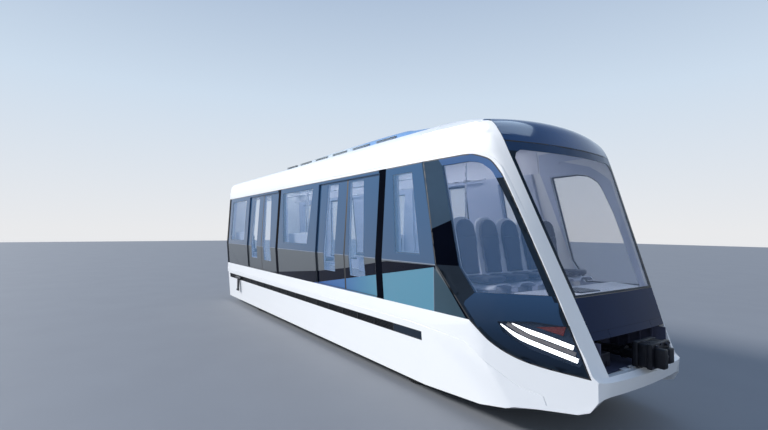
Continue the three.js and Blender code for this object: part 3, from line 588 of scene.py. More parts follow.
# name, slot, colour, roughness, metal, specular level, coat weight and roughness, alpha,
# mottle scale and amount, uneven gloss scale, low and high, grain scale and depth
FINISHES = (
    ("white_paint", "white_paint", (0.88, 0.88, 0.88), 0.26, 0, None, (0.4, 0.10), 1,
     (0.5, 0.005), (0.8, 0.25, 0.27), None),
    ("roof_paint", "white_paint", (0.86, 0.87, 0.89), 0.35, 0, None, (0.3, 0.15), 1,
     (0.5, 0.006, (0.3, 1, 1)), (0.8, 0.33, 0.36), None),
    ("blue_gloss", "blue_gloss", (0.003, 0.045, 0.150), 0.10, 0, 0.3, (0.6, 0.02), 1,
     (1.6, 0.10), (5, 0.10, 0.18), None),
    ("fairing_gloss", "blue_gloss", (0.30, 0.45, 0.62), 0.16, 0, None, (0.8, 0.04), 1,
     None, (5, 0.12, 0.20), None),
    # Grey for the fairing's foot band, a painted shadow of the gap under it, and for the real vent slats
    ("shadow_line_and_vents", "black_grille", (0.30, 0.34, 0.36), 0.4, 0, None, None, 1, (6, 0.1), None, None),
    # The dark glass gets its colour from a gradient further down, a painted reflection: ground grey below the
    # knee, sky blue above it
    ("dark_glass", "dark_glass", (0.075, 0.105, 0.150), 0.07, 0, 0.25, (0.15, 0.02), 1,
     None, (2, 0.05, 0.09), None),
    # A lighter glass for thin strips: painted highlight along the knee and along the livery wedge's front
    # edge
    ("knee_highlight", "dark_glass", (0.20, 0.24, 0.31), 0.15, 0, None, None, 1, (3, 0.1), None, None),
    # Painted shade: the wedge's teal made darker in the corner ahead of it, where the glass turns towards the
    # nose
    ("corner_shade_glass", "dark_glass", (0.030, 0.064, 0.090), 0.08, 0, 0.2, (0.1, 0.02), 1,
     (1.2, 0.10), (2, 0.05, 0.10), None),
    ("pillar_glass", "dark_glass", (0.026, 0.054, 0.090), 0.08, 0, 0.2, (0.1, 0.02), 1,
     (1.2, 0.10), (2, 0.05, 0.10), None),
    ("navy_band", "dark_glass", (0.002, 0.004, 0.013), 0.09, 0, 0.08, None, 1,
     (1.5, 0.15), (3, 0.06, 0.11), None),
    ("clear_glass", "clear_glass", (0.14, 0.30, 0.52), 0.03, 0, None, None, 0.26, (0.7, 0.04), None, None),
    ("cab_glass", "clear_glass", (0.10, 0.20, 0.38), 0.03, 0, None, None, 0.22, (0.7, 0.04), None, None),
    ("screen_glass", "clear_glass", (0.34, 0.42, 0.58), 0.03, 0, None, None, 0.14, (0.7, 0.03), None, None),
    ("lamp_cover", "clear_glass", (0.06, 0.09, 0.14), 0.04, 0, None, None, 0.10, (2, 0.05), None, None),
    ("black_frit", "dark_glass", (0.0012, 0.0022, 0.006), 0.12, 0, 0.01, None, 1,
     (2, 0.15), (4, 0.06, 0.12), None),
    ("slate_frit", "dark_glass", (0.010, 0.018, 0.030), 0.10, 0, 0.12, None, 1,
     (2, 0.15), (4, 0.07, 0.13), None),
    ("blue_frit", "dark_glass", (0.016, 0.046, 0.110), 0.10, 0, 0.2, None, 1,
     (2, 0.10), (4, 0.07, 0.13), None),
    # Painted sky reflection: a light blue for the band along the top of the cab glass
    ("brow_sky_reflection", "dark_glass", (0.060, 0.125, 0.270), 0.10, 0, 0.25, None, 1,
     (2, 0.08), (4, 0.07, 0.13), None),
    ("gasket", "dark_glass", (0.012, 0.013, 0.016), 0.5, 0, None, None, 1, (30, 0.2), None, (500, 0.0001)),
    ("navy_panel", "navy_panel", (0.001, 0.014, 0.055), 0.16, 0, 0.07, None, 1,
     (1.2, 0.10), (4, 0.12, 0.20), None),
    ("cab_navy", "navy_panel", (0.018, 0.038, 0.075), 0.10, 0, 0.15, None, 1, None, (4, 0.08, 0.13), None),
    ("black_grille", "black_grille", (0.005, 0.007, 0.011), 0.35, 0, 0.15, None, 1,
     (8, 0.2), None, (600, 0.0001)),
    ("chassis", "chassis", (0.040, 0.043, 0.048), 0.5, 0.4, None, None, 1,
     (5, 0.15), (9, 0.4, 0.65), (220, 0.0003)),
    ("coupler_metal", "chassis", (0.010, 0.011, 0.016), 0.45, 0.2, 0.3, None, 1,
     (12, 0.3), (20, 0.35, 0.6), (300, 0.0002)),
    ("mouth_lining", "black_grille", (0.080, 0.086, 0.140), 0.5, 0, 0.3, None, 1,
     (6, 0.2), None, (300, 0.0002)),
    ("coupler_fittings", "stainless", (0.045, 0.045, 0.060), 0.35, 0.5, None, None, 1,
     (20, 0.2), (20, 0.25, 0.5), None),
    ("equipment_grey", "chassis", (0.16, 0.17, 0.18), 0.45, 0.2, None, None, 1,
     (4, 0.05), (9, 0.35, 0.55), (320, 0.0002)),
    ("alloy", "stainless", (0.42, 0.43, 0.45), 0.35, 0.9, None, None, 1,
     (6, 0.05), (14, 0.30, 0.40), (500, 0.0001)),
    ("stainless", "stainless", (0.70, 0.71, 0.74), 0.30, 0.7, None, None, 1,
     (4, 0.04), (60, 0.24, 0.36, (0.1, 1, 1)), None),
    ("tyre_rubber", "tyre", (0.020, 0.020, 0.021), 0.8, 0, None, None, 1, (9, 0.25), None, (260, 0.0005)),
    ("bellows_cloth", "bellows", (0.40, 0.41, 0.44), 0.75, 0, None, None, 1, (6, 0.08), None, None),
    ("lining", "lining", (0.53, 0.57, 0.70), 0.5, 0, None, None, 1, (1.5, 0.03), None, (350, 0.00012)),
    ("ceiling", "lining", (0.74, 0.74, 0.80), 0.5, 0, None, None, 1, (1.5, 0.02), None, (350, 0.0001)),
    ("console_shelf", "lining", (0.80, 0.80, 0.86), 0.35, 0, None, None, 1, (2, 0.02), None, (400, 0.0001)),
    ("floor_cover", "lining", (0.24, 0.25, 0.29), 0.6, 0, None, None, 1, (60, 0.12), None, (400, 0.0003)),
    ("seat_cloth", "seat_pad", (0.045, 0.052, 0.085), 0.85, 0, None, None, 1, (140, 0.22), None, None),
    ("seat_shell", "lining", (0.66, 0.67, 0.74), 0.35, 0, None, None, 1, (3, 0.03), None, (600, 0.0001)),
    ("lamp_bar", "lamp_glass", (0.95, 0.97, 1.0), 0.25, 0, None, None, 1, (20, 0.03), None, None),
    ("lamp_bed", "black_grille", (0.020, 0.034, 0.062), 0.3, 0, 0.2, None, 1, (8, 0.2), None, None),
    ("lamp_gap", "stainless", (0.26, 0.235, 0.225), 0.35, 0.2, None, None, 1, (12, 0.1), None, None),
    ("marker_red", "lamp_glass", (0.13, 0.020, 0.016), 0.25, 0, None, None, 1, (25, 0.25), None, None),
    ("cabin_light", "lining", (1.0, 1.0, 1.0), 0.4, 0, None, None, 1, (9, 0.02), None, None),
    ("livery_wedge", "dark_glass", (0.03, 0.18, 0.35), 0.10, 0, 0.3, (0.2, 0.03), 1, None, None, None),
    ("studio_grey", "", (0.24, 0.25, 0.27), 0.7, 0, None, None, 1, (0.8, 0.02), None, None),
)
# name, axis, from, to and the colours at shares of the way
GRADIENTS = (
    ("fairing_gloss", "X", at(2.9), at(9.9), (0.0, (0.66, 0.72, 0.76)), (0.54, (0.62, 0.70, 0.76)),
     (0.64, (0.19, 0.36, 0.64)), (1.0, (0.15, 0.31, 0.58))),
    # Painted reflection on the dark glass: the grey of the ground below the knee and the blue of the sky
    # above it
    ("dark_glass", "Z", SILL_Z, GLASS_TOP, (0.0, (0.085, 0.094, 0.104)), (0.30, (0.104, 0.116, 0.126)),
     (0.31, (0.048, 0.096, 0.176)), (1.0, (0.040, 0.106, 0.215))),
    ("cab_navy", "Z", 0.80, 1.56, (0.0, (0.008, 0.014, 0.026)), (0.35, (0.012, 0.026, 0.052)),
     (1.0, (0.026, 0.062, 0.130))),
    ("livery_wedge", "X", at(6.4), at(9.0), (0.0, (0.020, 0.085, 0.30)), (0.45, (0.036, 0.130, 0.32)),
     (0.80, (0.072, 0.228, 0.335)), (1.0, (0.088, 0.250, 0.345))),
)
# name, colour and strength of the light given
GLOWS = (
    ("lamp_bar", (0.93, 0.96, 1.0), 3.0),
    ("marker_red", (1.0, 0.10, 0.06), 0.02),
    ("cabin_light", (0.90, 0.94, 1.0), 9.0),
)
# name, scale and depth of the threads
WEAVES = (("bellows_cloth", 320, 0.0002), ("seat_cloth", 260, 0.0004))

FINISH = {row[0]: Finish(*row) for row in FINISHES}
for finish_name, *values in GRADIENTS:
    FINISH[finish_name].along(*values)
for finish_name, *values in GLOWS:
    FINISH[finish_name].glow(*values)
for finish_name, *values in WEAVES:
    FINISH[finish_name].weave(*values)
FINISH["bellows_cloth"].set(Sheen_Weight=0.1)
FINISH["seat_cloth"].set(Sheen_Weight=0.25, Sheen_Roughness=0.5)


def show(name, mesh, finish, smooth, stands_for=(), body_name="car_body", slot=None):
    """Adds a piece in place, gives it its finish and hangs it on a body."""
    slot = slot or FINISH[finish].slot
    mesh.name = name
    mesh.shade_smooth()
    mesh.set_sharp_from_angle(angle=math.radians(smooth))
    mesh.materials.clear()
    mesh.materials.append(FINISH[finish].material)
    piece = linked(bpy.data.objects.new(name, mesh))
    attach(piece, body_name)
    if stands_for:
        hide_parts(*stands_for)
    return piece


def dress(finish, *nodes):
    """Gives CAD nodes their finish."""
    for node in nodes:
        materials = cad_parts[node].data.materials
        materials.clear()
        materials.append(FINISH[finish].material)


def add_parts(prefix, parts, stands_for, smooth, body_name="car_body"):
    """Shows parts given as label, mesh and finish, and leaves out the empty ones."""
    for label, mesh, finish, *slot in parts:
        if len(mesh.vertices):
            show(f"{prefix}_{label}", mesh, finish, smooth, stands_for, body_name, *slot)
            stands_for = ()


# Side glass, doors and livery

COLUMNS = ((0.080, 0.190), (4.275, 4.4745), (8.670, 8.873))
WINDOWS = (
    rectangle(0.430, 1.800, 1.917, 3.086),
    [(4.820, 1.940), (6.090, 1.940), (6.250, 3.090), (4.590, 3.090)],
    [(9.220, 1.917), (9.790, 1.917), (9.530, 3.086), (9.050, 3.086)],
)
LEAF_WINDOWS = {
    "back": [(-0.820, 1.480), (-0.370, 1.480), (-0.340, 3.100), (-0.760, 3.100)],
    "fore": [(0.180, 1.460), (0.690, 1.460), (0.540, 3.100), (0.080, 3.100)],
}
PILLAR_SPLIT = 2.260                    # the front pillar is dark teal above and black below
PILLAR_TOP_OUTLINE = [(10.000, PILLAR_SPLIT), (10.400, PILLAR_SPLIT), (10.0, 3.4), (9.660, 3.4), (9.74, 3.19)]
PILLAR_LOW_OUTLINE = [(10.110, 1.810), (10.700, 1.100), (11.0, 1.1), (10.9, 2.3), (9.990, 2.3),
                      (10.000, PILLAR_SPLIT)]
TOP_LINE = rectangle(-0.1, 10.0, 3.184, 3.3)
# Painted highlight: a thin strip of lighter glass along the knee
KNEE_HIGHLIGHT_STRIP = rectangle(-0.1, 10.13, KNEE_Z - 0.006, KNEE_Z + 0.004)
# Painted highlight: a thin strip of lighter glass along the wedge's front edge, where the glass turns
WEDGE_OUTLINE = [(6.380, 1.0), (10.030, 1.0), (10.085, 1.768), (6.380, 1.190)]
WEDGE_EDGE_HIGHLIGHT = [(10.034, 1.0), (10.089, 1.768), (10.080, 1.768), (10.025, 1.0)]
# Painted shade: the corner of the side glass ahead of the wedge, coloured a darker teal
CORNER_SHADE_OUTLINE = [(10.030, 1.0), (10.9, 1.0), (10.085, 1.768)]
BAND_OUTLINE = [(3.900, 1.0), (10.085, 1.0), (10.12, 1.790), (9.000, 1.780), (8.690, 1.740), (7.660, 1.575),
                (6.600, 1.442), (4.490, 1.250), (3.900, 1.196)]
REVEAL_DEPTHS = (SKIN + 0.001, 0.022)


def add_side_glass(name, sign):
    edge = END_FRAME + FIT
    outline = [(edge, SILL_Z), BEND_SILL, BEND_KNEE, BEND_TOP, (edge, GLASS_TOP)]
    skin = panel(inset_loop(outline, FIT), sign, (0, SKIN))
    for _, start, _, end in DOORS:
        skin = cut(skin, through(rectangle(start, end, DOOR_LOW, DOOR_HIGH)))
    parts, rest = divide(skin, *[rectangle(a, b, 1.0, 3.4) for a, b in COLUMNS], PILLAR_TOP_OUTLINE,
                         PILLAR_LOW_OUTLINE, TOP_LINE, WEDGE_EDGE_HIGHLIGHT, WEDGE_OUTLINE, CORNER_SHADE_OUTLINE, KNEE_HIGHLIGHT_STRIP,
                         BAND_OUTLINE, *WINDOWS)
    pillar_top, pillar_foot, top_line, wedge_edge_highlight, wedge, corner, knee, navy = parts[3:11]
    add_parts(f"side_{name}", [
        ("skin", rest, "dark_glass"),
        ("columns", gathered(*parts[:3]), "black_frit"),
        ("pillar_top", pillar_top, "pillar_glass"),
        ("pillar_foot", pillar_foot, "black_frit"),
        ("top_line", top_line, "gasket"),
        ("wedge", wedge, "livery_wedge"),
        # painted shade: darker teal in the corner ahead of the wedge
        ("corner", corner, "corner_shade_glass"),
        # painted highlight lines along the wedge's front edge and along the knee
        ("highlight_lines", gathered(wedge_edge_highlight, knee), "knee_highlight"),
        ("navy_band", navy, "navy_band"),
        ("windows", gathered(*parts[11:]), "clear_glass"),
    ], [f"side_glazing_{name}"], 20)
    seals = [border(rectangle(start, end, DOOR_LOW, DOOR_HIGH), sign, (SKIN / 2, 0.024), -0.001, 0.009)
             for _, start, _, end in DOORS]
    show(f"doorway_seals_{name}", gathered(*seals), "dark_glass", 20)
    reveals = [border(window, sign, REVEAL_DEPTHS, 0.0005, 0.016) for window in WINDOWS]
    show(f"window_rubbers_{name}", gathered(*reveals), "gasket", 20)


# way, and where the leaf's pull stands from the seam
LEAVES = (("back", -0.07), ("fore", 0.07))
LEAF_OVERLAP = 0.025                    # of a leaf behind the doorway's edge
LEAF_SEAM = 0.003
LEAF_Z = (1.206, 3.1497)
MEETING_RUBBER = 0.024
BEZEL_DEPTHS = (LEAF[1] + FIT, LEAF[1] + 0.0055)
PULL_DEPTHS = (LEAF[1] + FIT, LEAF[1] + 0.005)
PULL = (0.018, 1.900, 2.250)            # half width, from and to
PULL_HOLLOW = (0.010, 1.910, 2.240)


def add_door(door, start, seam, end, side, sign):
    """Two leaves, each a sheet of bonded glass on a framed inner panel, with edge rubbers."""
    spans = {"back": (start - LEAF_OVERLAP, seam - LEAF_SEAM), "fore": (seam + LEAF_SEAM, end + LEAF_OVERLAP)}
    for way, pull_x in LEAVES:
        node = f"door_{door}_{side}_{way}"
        outline = rectangle(*spans[way], *LEAF_Z)
        window = [(seam + x, z) for x, z in LEAF_WINDOWS[way]]
        meeting = rectangle(seam - MEETING_RUBBER, seam + MEETING_RUBBER, 1.0, 3.3)
        sheet = panel(outline, sign, (LEAF[0], LEAF[0] + LEAF_GLASS))
        (rubber, wedge, glass, knee, navy), rest = divide(sheet, meeting, WEDGE_OUTLINE, window, KNEE_HIGHLIGHT_STRIP,
                                                          BAND_OUTLINE)
        inner = cut(panel(inset_loop(outline, 0.004), sign, (LEAF[0] + LEAF_GLASS + FIT, LEAF[1])),
                    through(inset_loop(window, 0.004)))
        bezel = border(window, sign, BEZEL_DEPTHS, -0.030, 0.006)
        outer, hollow = (rectangle(seam + pull_x - half, seam + pull_x + half, low, high)
                         for half, low, high in (PULL, PULL_HOLLOW))
        pull = cut(panel(outer, sign, PULL_DEPTHS), through(hollow))
        add_parts(node, [
            ("panel", inner, "lining"),
            ("glass", rest, "dark_glass"),
            ("rubber", rubber, "gasket"),
            ("wedge", wedge, "livery_wedge"),
            ("window", glass, "clear_glass"),
            # painted highlight along the knee
            ("knee_highlight", knee, "knee_highlight"),
            ("navy_band", navy, "navy_band"),
            ("bezel", bezel, "gasket"),
            ("pull", pull, "stainless"),
        ], [node], 20, f"{door}_{side}_{way}_leaf")


# Lower side, slot and current collectors

SLOT_Z = (0.749, 0.872)
SLOT = rectangle(0.247, 9.775, *SLOT_Z)
SLOT_FIRST, SLOT_LAST = 0.262, 9.100    # stations of the louvres
SLOT_BAYS = 17
SLATS = 5
SLAT_Z = (0.766, 0.853)
SLAT_HALF = 0.0045
DIVIDER_HALF = 0.007
DIVIDER_Z = (0.754, 0.867)
PLATE_END = 9.770
CREASE_PATH = [(0.070, CREASE_Z), (9.5, CREASE_Z), (10.580, 0.920), (11.300, 0.560), (11.550, 0.520),
               (11.590, 0.430)]
GUTTER_PATH = [(0.070, 3.236), (9.8, 3.236), (10.520, 3.236), (10.700, 3.215), (10.860, 3.165),
               (10.985, 3.100), (11.090, 2.985), (11.170, 2.840), (11.375, 2.380)]
GROOVE = 0.006
GROOVE_HALF = 0.006
PROUD = -0.01                           # a little outside the body


def grooves(sign):
    """Thin solids that cut the panel grooves of the lower side and of the roof's edge."""
    return [keep(cut(body(PROUD), body(GROOVE)), prism(band(line, GROOVE_HALF), "Y", *reach(sign)))
            for line in (CREASE_PATH, GUTTER_PATH)]


def add_lower_side(name, sign):
    side = rectangle(END_FRAME + FIT, LOWER_END, SKIRT_BOTTOM - 0.05, SILL_Z - FIT)
    lower = panel(side, sign, (0, LOWER_SKIN))
    lower = cut(lower, through(SLOT), *grooves(sign))
    show(f"lower_panel_{name}", lower, "white_paint", 28, [f"lower_side_{name}"])
    back = panel(inset_loop(SLOT, -0.017), sign, (0.034, 0.045))
    lip = border(SLOT, sign, (0.004, 0.033), 0.0006, 0.005)
    pitch = (SLOT_LAST - SLOT_FIRST) / SLOT_BAYS
    dividers = [panel(rectangle(x - DIVIDER_HALF, x + DIVIDER_HALF, *DIVIDER_Z), sign, (0.009, 0.0335))
                for x in (SLOT_FIRST + bay * pitch for bay in range(SLOT_BAYS + 1))]
    bars = [panel(rectangle(SLOT_FIRST, SLOT_LAST, z - SLAT_HALF, z + SLAT_HALF), sign, (0.013, 0.030))
            for z in (between(*SLAT_Z, row / (SLATS - 1)) for row in range(SLATS))]
    plate = panel(rectangle(SLOT_LAST + DIVIDER_HALF, PLATE_END, *DIVIDER_Z), sign, (0.012, 0.0335))
    add_parts("slot", [
        (f"back_{name}", gathered(back, lip), "gasket", "black_grille"),
        (f"louvres_{name}", gathered(*bars), "black_grille"),
        (f"dividers_{name}", gathered(*dividers), "chassis", "black_grille"),
        (f"plate_{name}", plate, "slate_frit", "black_grille"),
    ], [f"slot_grille_{name}"], 28)


COLLECTOR_X = 1.230
# x0, x1, y0, y1, z0, z1 and rounding, x from the collector's station
COLLECTOR_ARM = (
    (-0.065, 0.065, 1.262, 1.288, 0.470, 0.800, 0.006),
    (-0.250, 0.250, 1.262, 1.290, 0.786, 0.846, 0.006),
    (-0.040, 0.040, 1.284, 1.297, 0.500, 0.780, 0.005),
    (-0.120, 0.120, 1.214, 1.264, 0.792, 0.828, 0.004),
)
COLLECTOR_SHOE = (-0.095, 0.095, 1.264, 1.300, 0.430, 0.480, 0.010)
# radius, place outwards, places along and heights
COLLECTOR_BOLTS = ((0.011, 1.288, (-0.21, -0.1, 0.1, 0.21), (0.816,)),
                   (0.013, 1.286, (-0.048, 0.048), (0.52, 0.74)))
BOLT_HEIGHT = 0.008


def add_collector(name, sign):
    """Arm, head, shoe and its bolts on one side."""
    bolts = []
    for radius, y, along, heights in COLLECTOR_BOLTS:
        inner = sign * y if sign > 0 else -y - BOLT_HEIGHT
        bolts += [disc(radius, 0, BOLT_HEIGHT, 6, (at(COLLECTOR_X + dx), inner, z), "Y")
                  for dx in along for z in heights]
    show(f"collector_arm_{name}", gathered(*blocks(COLLECTOR_ARM, COLLECTOR_X, sign=sign)), "chassis", 40,
         [f"collector_{name}"])
    show(f"collector_bolts_{name}", gathered(*bolts), "alloy", 30)
    show(f"collector_shoe_{name}", *blocks([COLLECTOR_SHOE], COLLECTOR_X, sign=sign), "black_grille", 40)


# Roof

FAIRING_TOP = [(2.900, 3.770), (3.040, 3.850), (3.300, 3.885), (4.160, 3.912), (6.000, 3.960), (8.270, 3.960),
               (8.800, 3.918), (9.200, 3.878), (9.530, 3.830), (9.830, 3.776), (9.960, 3.725)]
FAIRING_FOOT = 3.690
# half width and share of the height
FAIRING_SECTION = [(0.700, 0.0), (0.697, 0.22), (0.685, 0.48), (0.664, 0.68), (0.630, 0.83), (0.575, 0.93),
                   (0.480, 0.985), (0.300, 1.0), (0.0, 1.0)]
FAIRING_JOINTS = (4.4, 5.6, 6.8, 8.0)
JOINT_WIDTH = 0.006
FAIRING_EDGE = -0.028                   # depth of the top of the foot band, painted grey as the shadow gap under the fairing
VENT_FIRST, VENT_PITCH, VENT_LENGTH = 3.45, 0.86, 0.62
VENT_BAYS, VENT_ROWS = 6, 3
VENT_Z, VENT_RISE, VENT_HEIGHT = 3.822, 0.022, 0.006


def fairing_solid(scale, drop):
    rings = []
    for x, top in spline(FAIRING_TOP, 6):
        half = [(y * scale, between(FAIRING_FOOT, top, part) - drop) for y, part in FAIRING_SECTION]
        ring = [(at(x), y, z) for y, z in half] + [(at(x), -y, z) for y, z in reversed(half[:-1])]
        rings.append(ring + [(at(x), 0, FAIRING_FOOT)])
    return loft(rings)


def add_roof():
    edge, foot = END_FRAME + FIT, GLASS_TOP + FIT
    skin = keep(shell(0, SHELL), through([(edge, foot), (ROOF_END, foot), (ROOF_END, 4), (edge, 4)]))
    show("roof_shell", cut(skin, *grooves(-1), *grooves(1)), "roof_paint", 28, ["roof"])
    fairing = cut(fairing_solid(1, 0), body(-FIT))
    core = fairing_solid(0.994, 0.004)
    for x in FAIRING_JOINTS:
        fairing = cut(fairing, cut(block(x, x + JOINT_WIDTH, -0.8, 0.8, 3.6, 4.0), core))
    show("fairing_cover", cut(fairing, body(FAIRING_EDGE)), "fairing_gloss", 30, ["roof_fairing"])
    # Painted shadow: the fairing's lowest band in grey, for the shadow gap between it and the roof
    show("fairing_shadow_band", keep(fairing, body(FAIRING_EDGE)), "shadow_line_and_vents", 30)
    vents = []
    for _, sign in SIDES:
        for bay in range(VENT_BAYS):
            for row in range(VENT_ROWS):
                x, z = VENT_FIRST + bay * VENT_PITCH, VENT_Z + row * VENT_RISE
                vents.append(block(x, x + VENT_LENGTH, sign * 0.6, sign * 0.694, z, z + VENT_HEIGHT, 0.002))
    show("fairing_vents", gathered(*vents), "shadow_line_and_vents", 30)


# Nose

CAB_GLASS = spline([BEND_SILL, (10.747, 1.125), (10.951, 0.972), (11.206, 0.862), (11.500, 0.803),
                    (11.990, 0.768)], 4) + spline([
                        (11.634, 1.629), (11.328, 2.368), (11.124, 2.825), (11.052, 2.946), (10.940, 3.078),
                        (10.815, 3.140), (10.660, 3.186), (10.500, GLASS_TOP)], 4) + [BEND_TOP, BEND_KNEE]
CAB_CLEAR = [(10.714, 1.506), (11.578, 1.556)] + spline([
    (11.190, 2.493), (10.978, 2.895), (10.870, 3.005), (10.760, 3.068), (10.600, 3.100)], 4) + [
        (10.143, 3.100), (10.476, 1.808)]
CAB_PILLAR = [(10.476, 1.808), (10.143, 3.100), (10.02, 3.25), (9.6, 3.25), BEND_KNEE]
CAB_PILLAR_FOOT = [(10.476, 1.808), (10.330, 2.380), (9.960, 2.250), (9.960, 1.780), BEND_KNEE]
CAB_LOWER = [(10.60, 1.40), (10.714, 1.506), (11.578, 1.556), (12.1, 1.58), (12.3, 0.5), (10.3, 0.5)]
CAB_BROW = [(9.7, 3.02), (10.80, 3.02), (10.98, 2.86), (11.3, 2.86), (11.3, 3.3), (9.7, 3.3)]
CAB_FRIT = 0.050
CAB_RUBBER = 0.016
LAMP_BOX = [(10.994, 1.225), (11.088, 1.092), (11.360, 0.958), (11.880, 0.852), (11.922, 0.915),
            (11.788, 1.275), (11.408, 1.280)]
LAMP_BARS = ([(11.049, 1.188), (11.259, 1.078), (11.513, 1.009), (11.852, 0.930)],
             [(11.180, 1.212), (11.367, 1.153), (11.545, 1.115), (11.807, 1.054)])
LAMP_GAP = [(11.120, 1.205), (11.310, 1.115), (11.530, 1.060), (11.830, 0.990)]
LAMP_HALF, LAMP_START = 0.023, 0.003    # half width of a light bar, and at its pointed start
GAP_HALF = 0.020
MARKER = [(11.441, 1.210), (11.713, 1.160), (11.741, 1.259)]
FRIT_WIDTH = 0.050
CROWN_HALF = 1.060
VISOR_BACK = 10.750
VISOR_FOOT = 3.290
VISOR_SHELL = 0.025
VISOR_RUBBER = 0.010
APRON_Z = (1.130, 1.546)
APRON_SHELL = 0.020
APRON_SEAM = 1.205
SCREEN_FOOT = 1.549
CLEAR_Z = (1.572, 3.190)                # of the windscreen inside its dark border
CLEAR_CORNER = ((0.035, 0.045), (0.110, 0.0))   # how far inwards and down, at its upper corners


def front_outline(z0, z1, margin=0.0):
    count = 14
    heights = sorted({z1, *[between(z0, z1, i / count) for i in range(count)],
                      *[z for _, _, z in INNER_EDGE if z0 < z < z1]})
    return mirrored([(front_half(z) - margin, z) for z in heights])


def front_cut(z0, z1, margin=0.0):
    return head_on(front_outline(z0, z1, margin))


def visor_cut(margin):
    crown = front_outline(VISOR_FOOT, INNER_EDGE[-1][2])
    middle = len(crown) // 2
    crown[middle:middle] = [(CROWN_HALF, 4.000), (-CROWN_HALF, 4.000)]
    return cut(head_on(inset_loop(crown, margin)),
               prism(rectangle(0, VISOR_BACK + margin, -FAR, FAR), "Z", 0, 4.5))


def add_front():
    """Windscreen, visor and apron."""
    low, high = CLEAR_Z
    screen = keep(shell(0, GLASS), front_cut(SCREEN_FOOT, VISOR_FOOT - 0.003, 0.001))
    right = [(y - FRIT_WIDTH, z) for y, z in front_outline(low, high - CLEAR_CORNER[1][0]) if y > 0]
    right += [(right[-1][0] - inwards, high - down) for inwards, down in CLEAR_CORNER]
    across = {"axis": "X", "low": AHEAD[0], "high": AHEAD[1]}
    (clear,), frit = divide(screen, mirrored(right), **across)
    seal = cut(screen, front_cut(SCREEN_FOOT + 0.005, VISOR_FOOT - 0.009, 0.007))
    (brow,), frit = divide(cut(frit, seal), rectangle(-FAR, FAR, high - 0.02, VISOR_FOOT), **across)
    visor = keep(shell(0, VISOR_SHELL), visor_cut(0))
    edge = cut(visor, visor_cut(VISOR_RUBBER))
    apron = keep(shell(0, APRON_SHELL), front_cut(*APRON_Z, 0.001))
    lines = [rectangle(-FAR, FAR, APRON_SEAM, APRON_SEAM + 0.004)]
    lines += [rectangle(y - 0.002, y + 0.002, 1.0, APRON_SEAM) for y in (-0.45, 0.45)]
    for line in lines:
        apron = cut(apron, keep(head_on(line), cut(body(PROUD), body(0.003))))
    show("windscreen_glass", clear, "screen_glass", 40, ["windscreen"])
    show("windscreen_frit", frit, "slate_frit", 40)
    show("windscreen_brow", brow, "blue_frit", 40)
    show("windscreen_seal", seal, "gasket", 40)
    show("visor_panel", cut(visor, edge), "blue_gloss", 40, ["visor"])
    show("visor_edge", edge, "gasket", 40)
    show("apron_panel", apron, "navy_panel", 40, ["front_apron"])


def add_nose():
    """The white shell, its lining, the cab glass and the lamps behind it."""
    lower_end, roof_end = LOWER_END + FIT, ROOF_END + FIT
    region = through([(lower_end, 0), (13, 0), (13, 4), (roof_end, 4), (roof_end, GLASS_TOP + FIT), BEND_TOP,
                      BEND_KNEE, BEND_SILL, (lower_end, SILL_Z)])
    nose = cut(keep(shell(0, SHELL), region), front_cut(0.794, VISOR_FOOT, 0.001 - FIT), visor_cut(-FIT),
               *grooves(-1), *grooves(1))
    lining = through([(BEND_SILL[0] + 0.05, SILL_Z), (13, SILL_Z), (13, 3.5), (9.92, 3.5), (9.92, 3.2)])
    lining = cut(keep(shell(SHELL + 0.001, SHELL + 0.012), lining), front_cut(1.20, 3.34, -0.012))
    for name, sign in SIDES:
        span = reach(sign, CAB_NEAR)

        def side_prism(outline):
            return prism(outline, "Y", *span)
        glass = panel(CAB_GLASS, sign, (0, GLASS), CAB_NEAR)
        rubber = cut(glass, side_prism(inset_loop(CAB_GLASS, CAB_RUBBER)))
        (pane, lamp_window, foot, pillar, brow), rest = divide(
            cut(glass, rubber), CAB_CLEAR, inset_loop(LAMP_BOX, 0.014), CAB_PILLAR_FOOT, CAB_PILLAR, CAB_BROW,
            low=span[0], high=span[1])
        edge = cut(rest, side_prism(inset_loop(CAB_GLASS, CAB_FRIT)))
        (lower,), upper = divide(cut(rest, edge), CAB_LOWER, low=span[0], high=span[1])
        add_parts(f"cab_{name}", [
            ("pane", pane, "cab_glass"),
            ("lamp_window", lamp_window, "lamp_cover"),
            ("pillar_foot", foot, "black_frit"),
            ("pillar", pillar, "pillar_glass"),
            ("lower", lower, "cab_navy"),
            # painted sky reflection along the top of the cab glass
            ("brow", brow, "brow_sky_reflection"),
            ("frit", gathered(edge, upper), "slate_frit"),
            ("rubber", rubber, "gasket"),
        ], [f"cab_glass_{name}"], 40)
        bead = cut(panel(inset_loop(CAB_CLEAR, -0.014), sign, (GLASS + 0.001, GLASS + 0.020), CAB_NEAR),
                   side_prism(inset_loop(CAB_CLEAR, 0.004)))
        nose = cut(nose, cut(side_prism(inset_loop(CAB_GLASS, -FIT)), body(GLASS + FIT)),
                   side_prism(inset_loop(CAB_CLEAR, -0.0145)), side_prism(LAMP_BOX))
        lining = cut(lining, side_prism(inset_loop(CAB_CLEAR, -0.020)))
        show(f"cab_{name}_bead", bead, "gasket", 40)
        add_lamps(name, sign)
    show("nose_shell", nose, "white_paint", 28, ["nose_hoop", "nose_skirt"])
    show("nose_lining", lining, "lining", 40)


